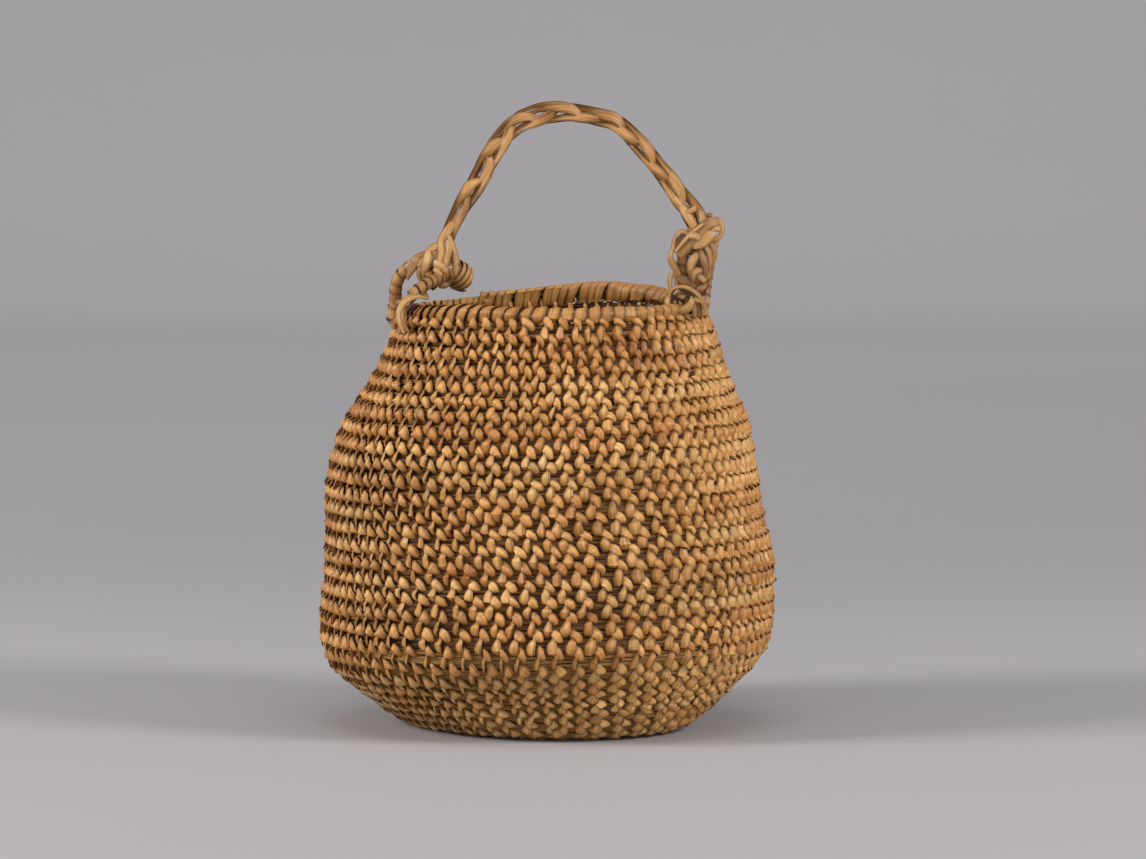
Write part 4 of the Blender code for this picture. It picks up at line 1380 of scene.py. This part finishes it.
RIGHT_KNOT_LEAVES = (
    Leaf(((709.5, 222, -1, 1.4), (712.5, 218.9, -1.4, 1.6), (717.4, 218.2, -2, 1.9),
        (721.8, 223.3, -2.8, 1.9), (722.9, 229.2, -3, 1.7), (720.3, 235.8, -3.2, 1.6),
        (715.9, 240.2, -3.6, 1.6), (712.2, 243.1, -3.2, 1.4)), 0.3, face=Face.OUTWARD),
    Leaf(((719.5, 221.5, -3.4, 2), (712, 222.4, -5.2, 3.4), (704.2, 227.5, -6, 3.8),
        (696.8, 234.3, -6.4, 4.1), (689.5, 241.7, -6.2, 4.2), (682.9, 249, -5.6, 4.2),
        (678, 255.4, -5, 3.9)), 0.42, 0.35, cup=0.06),
    Leaf(((703, 223.6, -6.4, 1), (693, 231.8, -6.9, 1.3), (683.5, 241.8, -6.5, 1.3),
        (675.5, 251.5, -5.4, 1)), 0.2, 0.3),
    Leaf(((720.5, 229, -4.2, 1.6), (712, 228.4, -5.6, 2.1), (704, 232.5, -6.3, 2.1),
        (697, 239.5, -6.3, 1.8)), 0.25),
    Leaf(((686.5, 236.6, -5.8, 2), (693, 235.4, -7.6, 2.5), (699.5, 238.6, -7, 2.1)), 0.15),
    Leaf(((713.5, 231.5, -5.6, 2.4), (709, 237, -6.7, 3.4), (702.5, 242.5, -7, 3.3),
        (696, 246.3, -6.7, 2.2), (692.5, 247.8, -6, 0.9)), 0.25),
    Leaf(((691, 235.5, -4.8, 1.3), (683, 231.2, -3.8, 1.5), (677, 233.4, -3.2, 1.6),
        (674, 239.5, -3, 1.7), (672.9, 246, -3, 1.8),
        (671.6, 252, -3.2, 1.9)), 0.3, face=Face.OUTWARD),
    Leaf(((685, 236, -2.6, 2.6), (679.5, 241.5, -2.6, 2.6), (676.5, 248, -3, 2.2)), 0.4),
    Leaf(((681, 205, -1, 2.2), (686, 213, -2.6, 2.9), (691, 221, -4, 2.8),
        (696, 229, -5, 2.4)), 0.25),
    Leaf(((697, 206, -0.5, 2.4), (701, 213, -1.8, 2.6), (703, 221, -3.6, 2.6),
        (704, 228, -4.4, 2.4)), 0.62),
    Leaf(((705, 219, -0.5, 1.2), (709, 214.9, -0.8, 1.4), (712.4, 215.4, -0.6, 1.1)), 0.55),
    Leaf(((714, 240, -2, 2.2), (716, 243.5, -2.6, 2), (714, 246.5, -3, 1.2)), 0.3),
)

RIGHT_TAIL_LEAVES = (
    Leaf(((701.5, 249, -4.6, 1.8), (695, 256.5, -5.6, 2.7), (690.8, 265.8, -5.8, 2.6),
        (691.3, 273.9, -5.6, 2.1), (693.5, 283, -4.8, 0.7)), 0.42),
    Leaf(((700, 250, -5.4, 1.6), (703.6, 259, -6, 2.3), (705.8, 268.5, -5.8, 2.2),
        (703.8, 278.3, -5, 1.5)), 0.5, 0.3),
    Leaf(((701.5, 270.6, -6.2, 1.6), (696.4, 271.2, -6.8, 2.2), (693.4, 277, -6.4, 2.3),
        (693.2, 282.5, -5.4, 1)), 0.4),
    Leaf(((698.4, 275.4, -5.4, 1.9), (701.5, 278.4, -5.6, 2), (705.2, 281.4, -5, 1.8)), 0.15),
    Leaf(((703.5, 244.5, -5.2, 1.6), (708.5, 251, -5.6, 1.9), (710.6, 260.7, -5.2, 1.8),
        (709.3, 271, -4.8, 1.7), (706.5, 281.5, -4.2, 1.6)), 0.3),
    Leaf(((711.5, 243.5, -3.4, 1.8), (714.6, 249, -3.6, 2), (714.9, 256.3, -3.4, 1.9),
        (712.4, 263.9, -3.2, 1.4)), 0.4, face=Face.OUTWARD),
    Leaf(((710.6, 263, -3.4, 1.4), (711.4, 271, -3.4, 1.8),
        (708.5, 280.5, -3.6, 1.5)), 0.45, face=Face.OUTWARD),
    Leaf(((671.6, 251, -3.2, 1.9), (670, 257, -3.4, 2.3), (672, 263.5, -3.8, 2.5),
        (675.8, 269.5, -4.2, 2.3), (679, 275.4, -4.4, 1.8)), 0.35, face=Face.OUTWARD),
    Leaf(((676.5, 274.8, -3.4, 2.2), (683, 280.5, -4.2, 3.2), (690.5, 285.4, -4.4, 3),
        (696.5, 287, -3.6, 1.6)), 0.55),
    Leaf(((672.6, 271, -2.4, 1.3), (670, 279.5, -2.6, 1.6), (670.4, 289, -2.8, 1.3)), 0.4),
    Leaf(((675.6, 274, -3, 1.2), (676.2, 280, -3.2, 1.4), (676.6, 287, -3.2, 1.2)), 0.35),
)

# Painted shade: two dark leaves with the stems' finish stand behind the curl, for the shadow in
# its hollow.
RIGHT_CURL_SHADE_LEAVES = (
    Leaf(((671, 297, -25, 4), (682, 296, -25.6, 5.6), (694, 300, -25, 4.6)), 0.8, 0),
    Leaf(((670, 303, -25.2, 3), (682, 304.5, -26, 4.6), (695, 308, -24.6, 4)), 0.7, 0),
)

RIGHT_CURL_LEAVES = (
    Leaf(((669.2, 298, -29.6, 1.2), (671.4, 290.4, -30.2, 1.5), (678.6, 286.4, -30.8, 1.7),
        (688.4, 287.8, -31.2, 1.9), (697, 292.8, -30.8, 2), (702.8, 299.8, -29.6, 1.9),
        (705.4, 308.6, -27.6, 1.7)), 0.52, 0.4, face=Face.OUTWARD),
    Leaf(((667.8, 306.6, -30.4, 1), (673.6, 309.8, -31.6, 2.1), (681.6, 310.6, -32.2, 2.7),
        (688.4, 307.6, -32.2, 2.8), (692.2, 301.6, -31.6, 2.2),
        (692, 296.4, -30.6, 1.2)), 0.12, face=Face.OUTWARD),
    Leaf(((668.6, 297, -29, 1.6), (666.9, 302, -29.4, 2), (668.4, 307.5, -29.8, 1.8)), 0.35),
    Leaf(((675, 291.5, -28, 2.2), (680.5, 294.5, -29.6, 2.2), (684.5, 297.4, -30.4, 1.8)), 0.5),
    Leaf(((672.5, 304, -28, 1.6), (675.6, 301.6, -29.8, 1.5)), 0.55),
    Leaf(((679.5, 306.5, -28.4, 1.7), (680.4, 302.6, -30.2, 1.7)), 0.4),
    Leaf(((686.8, 304, -28.6, 1.6), (687.4, 298, -29.2, 1.5)), 0.6),
    Leaf(((694.4, 301.8, -29, 1.5), (694.6, 309, -29, 1.7), (695, 316.6, -28, 1.3)), 0.6),
    Leaf(((698.4, 302.6, -28, 1.5), (699, 309.6, -27.8, 1.7), (699.4, 317, -26.6, 1.3)), 0.75),
    Leaf(((702.2, 303.8, -26.6, 1.5), (703, 309.6, -26.2, 1.6), (703.2, 316, -25, 1.2)), 0.6),
)


@dataclass
class Knot:
    """A strand end tied round an ear's bar: crossing bands under loose leaves."""

    name: str
    pivot: Place
    leaves: Sequence[Leaf]
    sunk: Place
    size: Place
    give: tuple[Sequence[float], Sequence[float]] | None = None
    bands: int = 10
    width: float = 3.1 * MM

    def build(self, sight: Sight) -> None:
        """Make the knot's bands and leaves as one piece.

        Args:
            sight: the line of sight that the leaves' spots are given in.
        """
        piece = Piece(f"{self.name}_leaves", Body.HANDLE, HANDLE_LEAF, (self.name,))
        piece.give = self.give
        heart = np.add(self.pivot, self.sunk)
        size = np.array(self.size)
        rng = np.random.default_rng(len(self.name))
        share = np.linspace(0, 0.97, 30)
        for number in range(self.bands):
            height = 0.85 * (1 - 2 * (number + 0.5) / self.bands)
            round_by = number * 2.4 + rng.normal(0, 0.2)
            level = math.sqrt(1 - height * height)
            pole = np.array((level * math.cos(round_by), height, level * math.sin(round_by)))
            first = unit(np.cross(pole, (0.31, 0.22, 0.93)))
            angle = (TURN * share + number * 1.7)[:, None]
            out = swung(first, np.cross(pole, first), angle)
            out = unit(out + pole * (0.16 * np.sin(angle * 2 + number)))
            reach = 0.82 + 0.13 * (number % 3) / 2 + 0.07 * np.sin(angle * 3 + number * 2)
            places = heart + out * size * reach
            # The bands' tones run dark: random tone, and partly painted shade for the knot's
            # crevices.
            straw = (rng.normal(0.66, 0.14), 0.2 * rng.random(), rng.random())
            width = self.width * rng.uniform(0.8, 1.1) * (1 - 0.5 * np.abs(2 * share - 1) ** 6)
            piece.ribbon(places, out / size * MM, width, LEAF_THICKNESS, straw, cup=0.14)
        fold_leaves(piece, self.leaves, sight, self.pivot)
        piece.dress()


@dataclass
class RolledTail:
    """A strand end rolled up to a small coil beside the left knot."""

    middle: Place = (-31.6 * MM, -0.4 * MM, 165.3 * MM)
    axis: Place = (0.66, 0.52, -0.54)
    radius: float = 5.3 * MM
    pitch: float = 2.1 * MM
    turns: float = 3.5
    layers: Rows = ((0, 2.1, 0.3), (-1.2, 2, 0.5), (-2.7, 2.4, 0.9))
    lead: Rows = (
        (-35.6, -1.2, 180.4), (-33.2, -2.4, 175.6), (-32.2, -2.8, 171.4), (-31.8, -3.4, 168),
    )

    def build(self) -> None:
        """Wind a flat leaf round a slanting axis, and lead it up to the plait."""
        piece = Piece("left_tail_leaves", Body.HANDLE, HANDLE_LEAF, ("left_tail_coil",))
        axis = unit(self.axis)
        front = unit(np.cross(axis, (0.0, 0.0, 1.0)))
        top = np.cross(front, axis)
        share = np.linspace(0, 1, 74)
        slide = axis * (self.pitch * self.turns * (share - 0.5))[:, None]
        swell = 1 - 0.16 * (2 * share[:, None] - 1) ** 2
        for layer, (grow, width, tone) in enumerate(self.layers):
            angle = (TURN * self.turns * share + 0.6 + layer)[:, None]
            out = swung(top, -front, angle)
            places = self.middle + slide + out * ((self.radius + grow * MM) * swell)
            straw = (tone, 0.25, 0.4 * layer)
            piece.ribbon(places, out + axis * 0.18, width * MM, 0.45 * MM, straw, cup=0.1)
        places = curve(np.array(self.lead) * MM, 0.6 * MM)
        facing = np.array((0.3, -1.0, 0.1))
        piece.ribbon(places, facing, 2.0 * MM, 0.45 * MM, (0.3, 0.2, 0.7), cup=0.15)
        piece.dress()


@dataclass
class TailPlait:
    """The strand ends that hang plaited in front of the right ear."""

    line: Rows = (
        (58, -3.6, 176), (57.4, -3.9, 171), (56.6, -4, 166), (55.8, -3.8, 161), (55.2, -3.2, 157),
    )
    swing: float = 2.5 * MM
    depth: float = 1.0 * MM
    period: float = 21.0 * MM
    width: float = 3.4 * MM
    tilt: float = 0.8

    def build(self) -> None:
        """Plait three short leaves."""
        piece = Piece("right_tail_plait", Body.BASKET, HANDLE_LEAF)
        line = curve(np.array(self.line) * MM, 0.6 * MM)
        sides, fronts = carried(line, (0, 1, 0))
        lengths = travelled(line)
        for number in range(3):
            phase = TURN * (lengths / self.period + number / 3)
            across = (self.swing * np.sin(phase))[:, None]
            tilt = (self.tilt * np.sin(phase + 0.5))[:, None]
            places = line + sides * across + fronts * (self.depth * np.sin(2 * phase))[:, None]
            straw = (0.42 + 0.12 * number, 0.2, 0.3 * number)
            facing = turned(sides, fronts, tilt)
            piece.ribbon(places, facing, self.width, LEAF_THICKNESS, straw, cup=0.2)
        piece.dress()


@dataclass
class NeckWrap:
    """The strand end that ties the plait together just above the right knot."""

    middle: Place = (53.6 * MM, -0.2 * MM, 188.4 * MM)
    lean: Place = (0.5, 0.0, -0.86)
    reach: float = 2.9 * MM
    turns: float = 1.1
    rise: float = 2.4 * MM
    width: float = 2.2 * MM

    def build(self) -> None:
        """Wind a flat leaf once and a bit round the plait."""
        piece = Piece("right_neck_leaf", Body.HANDLE, HANDLE_LEAF, ("right_neck_wrap",))
        ahead = unit(self.lean)
        front = np.array((0.0, -1.0, 0.0))
        side = np.cross(front, ahead)
        share = np.linspace(0, 1, 26)
        angle = (TURN * self.turns * share)[:, None]
        out = swung(side, front, angle)
        slide = ahead * (self.rise * (share - 0.5))[:, None]
        places = self.middle + out * self.reach + slide
        piece.ribbon(places, out, self.width, 0.4 * MM, (0.35, 0.2, 0.4), cup=0.1)
        piece.dress()


@dataclass
class FoldedEnds:
    """Leaves laid over one place of the basket: a plaited tail, a curled strip end, or dark
    leaves of painted shade in a curl's hollow.
    """

    name: str
    nodes: tuple[str, ...]
    leaves: Sequence[Leaf]
    heart: Place
    finish: FibreFinish = HANDLE_LEAF

    def build(self, sight: Sight) -> None:
        """Make the leaves as one piece, seen along this line of sight."""
        piece = Piece(self.name, Body.BASKET, self.finish, self.nodes)
        fold_leaves(piece, self.leaves, sight, self.heart)
        piece.dress()


LEFT_EAR_LEAVES = (
    Leaf(((428.4, 272, -6.4, 2.7), (430.8, 277.5, -6.8, 2.7), (434, 284, -6.4, 2.7),
        (435.6, 288.6, -4.4, 2.4)), 0.35, cup=0.2),
    Leaf(((423.5, 253.6, -1.5, 1.6), (417.5, 258.5, -2.4, 3), (412.5, 266.5, -2.2, 2.8),
        (408.8, 275, -1.8, 1.7), (407.6, 280.2, -1.2, 0.5)), 0.35, cup=0.2),
    Leaf(((414, 288.5, -15, 2), (420, 291.5, -17.6, 2.6), (425.6, 296, -19.4, 1.6),
        (428.6, 299.2, -20.4, 0.4)), 0.3, cup=0.15),
    Leaf(((428, 299, -21.5, 0.7), (419, 296.6, -23.4, 1.3), (409, 299.4, -25, 1.6),
        (402, 305.6, -26, 1.7), (398.4, 314, -26.6, 1.6), (399.6, 323, -27.2, 1.5),
        (404.4, 333.5, -27.6, 1.1)), 0.15, cup=0.1),
    Leaf(((420, 294.6, -22, 0.8), (411, 295.8, -24, 1.2), (403.4, 300.8, -25.4, 1.3),
        (398.6, 307.6, -26, 1.1)), 0.25),
    Leaf(((402.6, 311.8, -26.4, 0.8), (402.4, 319, -27, 1.3), (404.6, 326, -27.4, 1.4),
        (408.6, 331.6, -27.8, 0.9)), 0.45),
    Leaf(((396, 303, -14, 1.2), (400, 301.8, -18, 1.5), (405, 299, -21, 1.2)), 0.4),
)


@dataclass
class LooseFibres:
    """Broken fibres that stand off the ears' feet."""

    routes: Sequence[Rows] = (
        ((384.6, 325.8, -6), (388, 325.2, -7), (393, 324.6, -9)),
        ((663, 307, -31), (659.5, 311, -33), (658.4, 316, -34)),
        ((666, 308, -31.5), (662, 311.5, -33.4), (661.8, 316.5, -34.4)),
        ((669, 310.5, -32), (665, 313, -33.6), (665.5, 317.5, -34.2)),
        ((664, 305.5, -30.5), (660, 306.5, -32.4), (657, 309.5, -33.4)),
    )
    width: float = 0.42 * MM

    def build(self, sight: Sight) -> None:
        """Make the fibres, seen along this line of sight."""
        piece = Piece("loose_fibres", Body.BASKET, STITCH_STRAW)
        facing = np.array((0.0, -1.0, 0.2))
        for number, spots in enumerate(self.routes):
            places = curve(sight.places(np.array(spots)), 0.5 * MM)
            taper = self.width * (1 - 0.6 * np.linspace(0, 1, len(places)))
            straw = (0.2 + 0.1 * number, 0.1, 0.2 * number)
            piece.ribbon(places, facing, taper, 0.25 * MM, straw)
        piece.dress()


@dataclass
class Studio:
    """A grey paper cove, soft lamps at both sides, above and low in front, and the camera."""

    sight: Sight
    half_width: float = 2.6
    front: float = -2.9
    bend_start: float = 2.2
    bend_radius: float = 0.75
    air_strength: float = 0.31
    air_tint: Colour = (0.92, 0.95, 1)
    wall_height: float = 2.4
    lit: Place = (0, 0, 0.1)
    lamps: Sequence[tuple[str, Sequence[float], float, float, Colour]] = (
        ("right_lamp", (1.3, -0.72, 0.9), 0.5, 19.5, (1, 0.985, 0.955)),
        ("left_lamp", (-1.4, -0.52, 0.9), 0.5, 23, (1, 0.985, 0.955)),
        ("top_lamp", (0, -0.55, 1.45), 0.9, 5, (1, 1, 1)),
        ("low_lamp", (0.02, -1.4, 0.06), 0.8, 8, (1, 0.99, 0.97)),
    )

    def lay_cove(self) -> None:
        """Bend a grid to a floor that runs up into a wall."""
        bm = bmesh.new()
        bmesh.ops.create_grid(bm, x_segments=2, y_segments=60, size=1.0)
        arc = self.bend_radius * math.pi / 2
        floor = self.bend_start - self.front
        total = floor + arc + self.wall_height
        for vert in bm.verts:
            run = (vert.co.y + 1) / 2 * total
            turn = min(max(run - floor, 0) / self.bend_radius, math.pi / 2)
            depth = self.front + min(run, floor) + self.bend_radius * math.sin(turn)
            height = self.bend_radius * (1 - math.cos(turn)) + max(run - floor - arc, 0)
            vert.co = (vert.co.x * self.half_width, depth, height)
        mesh = bpy.data.meshes.new("paper_cove")
        bm.to_mesh(mesh)
        bm.free()
        mesh.shade_smooth()
        cove = bpy.data.objects.new("paper_cove", mesh)
        mesh.materials.append(StageFinish().material())
        bpy.context.scene.collection.objects.link(cove)

    @staticmethod
    def stand(thing: bpy.types.Object, place: Sequence[float], aim: Sequence[float]) -> None:
        """Put a lamp or the camera in its place, looking at a point."""
        thing.location = place
        toward = Vector(aim) - Vector(place)
        thing.rotation_euler = toward.to_track_quat("-Z", "Y").to_euler()
        bpy.context.scene.collection.objects.link(thing)

    def hang_lamps(self) -> None:
        """Hang the square soft lamps, which look at the basket."""
        for name, place, size, power, tint in self.lamps:
            lamp = bpy.data.lights.new(name, "AREA")
            lamp.shape = "SQUARE"
            lamp.size = size
            lamp.energy = power
            lamp.color = tint
            self.stand(bpy.data.objects.new(name, lamp), place, self.lit)

    def set_camera(self) -> None:
        """Stand the camera where the picture was taken from."""
        camera = bpy.data.cameras.new("camera")
        camera.sensor_width = self.sight.sensor
        camera.lens = self.sight.lens
        camera.clip_end = 20
        thing = bpy.data.objects.new("camera", camera)
        self.stand(thing, self.sight.eye, self.sight.aim)
        bpy.context.scene.camera = thing

    def build(self) -> None:
        """Set up the floor, the light and the camera."""
        scene = bpy.context.scene
        scene.view_settings.view_transform = "Standard"
        self.lay_cove()
        self.hang_lamps()
        world = bpy.data.worlds.new("studio_air")
        world.use_nodes = True
        air = world.node_tree.nodes["Background"]
        air.inputs["Color"].default_value = (*self.air_tint, 1)
        air.inputs["Strength"].default_value = self.air_strength
        scene.world = world
        self.set_camera()


LEFT_EAR_ROUTE: Rows = (
    (-53, 5.5, 145.2), (-55.6, 5.9, 149.2), (-55.2, 5.6, 154.4), (-53.44, 3.04, 164.62),
    (-44.11, 0, 171.82), (-39.32, 0, 172.1), (-35.73, 0, 172.3), (-34.25, 0.3, 171.69),
    (-34.2, -1.6, 168.9), (-37, -5.2, 165.7), (-45.23, -18.94, 161.9), (-51.8, -22.6, 154.6),
    (-52, -22.6, 147.4),
)
RIGHT_EAR_ROUTE: Rows = (
    (50.69, 0, 151.64), (50.69, 0, 162), (50.69, 0, 172.88), (51.93, 0, 176.45),
    (54.05, 0, 177.54), (58.53, 0, 177.54), (60.36, 0, 176.45), (60.4, 0, 172.88),
    (59.4, -0.2, 166), (58.7, -0.5, 160), (57.9, -0.7, 153.2),
)
LEFT_KNOT = Knot(
    "left_knot",
    pivot=(-39.32 * MM, 0.0, 172.1 * MM),
    leaves=LEFT_KNOT_LEAVES,
    sunk=(0, -1.0 * MM, -3.7 * MM),
    size=(6.3 * MM, 5.0 * MM, 6.7 * MM),
)
RIGHT_KNOT = Knot(
    "right_knot",
    pivot=(56.29 * MM, 0.0, 177.54 * MM),
    leaves=RIGHT_KNOT_LEAVES,
    sunk=(0, -0.6 * MM, 0.6 * MM),
    size=(6.4 * MM, 5.0 * MM, 6.6 * MM),
    give=((0.0563, 0, 0.167), (0.0563, 0, 0.185)),
)
CURL = (0.0499, -0.03, 0.1562)
LEFT_EAR_ENDS = FoldedEnds(
    "left_ear_leaves", ("left_ear_wrap",), LEFT_EAR_LEAVES, (-0.05, -0.012, 0.16)
)
RIGHT_ENDS = (
    FoldedEnds(
        "right_tail_leaves", ("right_plaited_tail",), RIGHT_TAIL_LEAVES, (0.0563, 0, 0.168)
    ),
    FoldedEnds("right_curl_leaves", ("right_curl",), RIGHT_CURL_LEAVES, CURL),
    FoldedEnds("right_curl_heart", (), RIGHT_CURL_SHADE_LEAVES, CURL, STEMS),
)


def main() -> None:
    """Build every piece in order."""
    logging.basicConfig(level=logging.INFO, format="%(name)s: %(message)s")
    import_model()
    for finish in (STITCH_STRAW, RIM_STRAW, EAR_STRAW, HANDLE_LEAF, STEMS):
        MATERIALS[finish.name] = finish.material()
    sight = Sight()
    Studio(sight).build()
    wall = WallForm()
    coil = SewnCoil(wall)
    CoilStart(wall).build()
    coil.build()
    WrappedRim(wall, coil).build()
    WoundEar("left", LEFT_EAR_ROUTE, foot=0.5).build()
    WoundEar("right", RIGHT_EAR_ROUTE, seed=8).build()
    LEFT_EAR_ENDS.build(sight)
    PlaitedHandle().build()
    LEFT_KNOT.build(sight)
    RIGHT_KNOT.build(sight)
    TailPlait().build()
    RolledTail().build()
    NeckWrap().build()
    for ends in RIGHT_ENDS:
        ends.build(sight)
    LooseFibres().build(sight)
    Band.clear()
    LOG.info("all pieces are built")


if __name__ == "__main__":
    main()
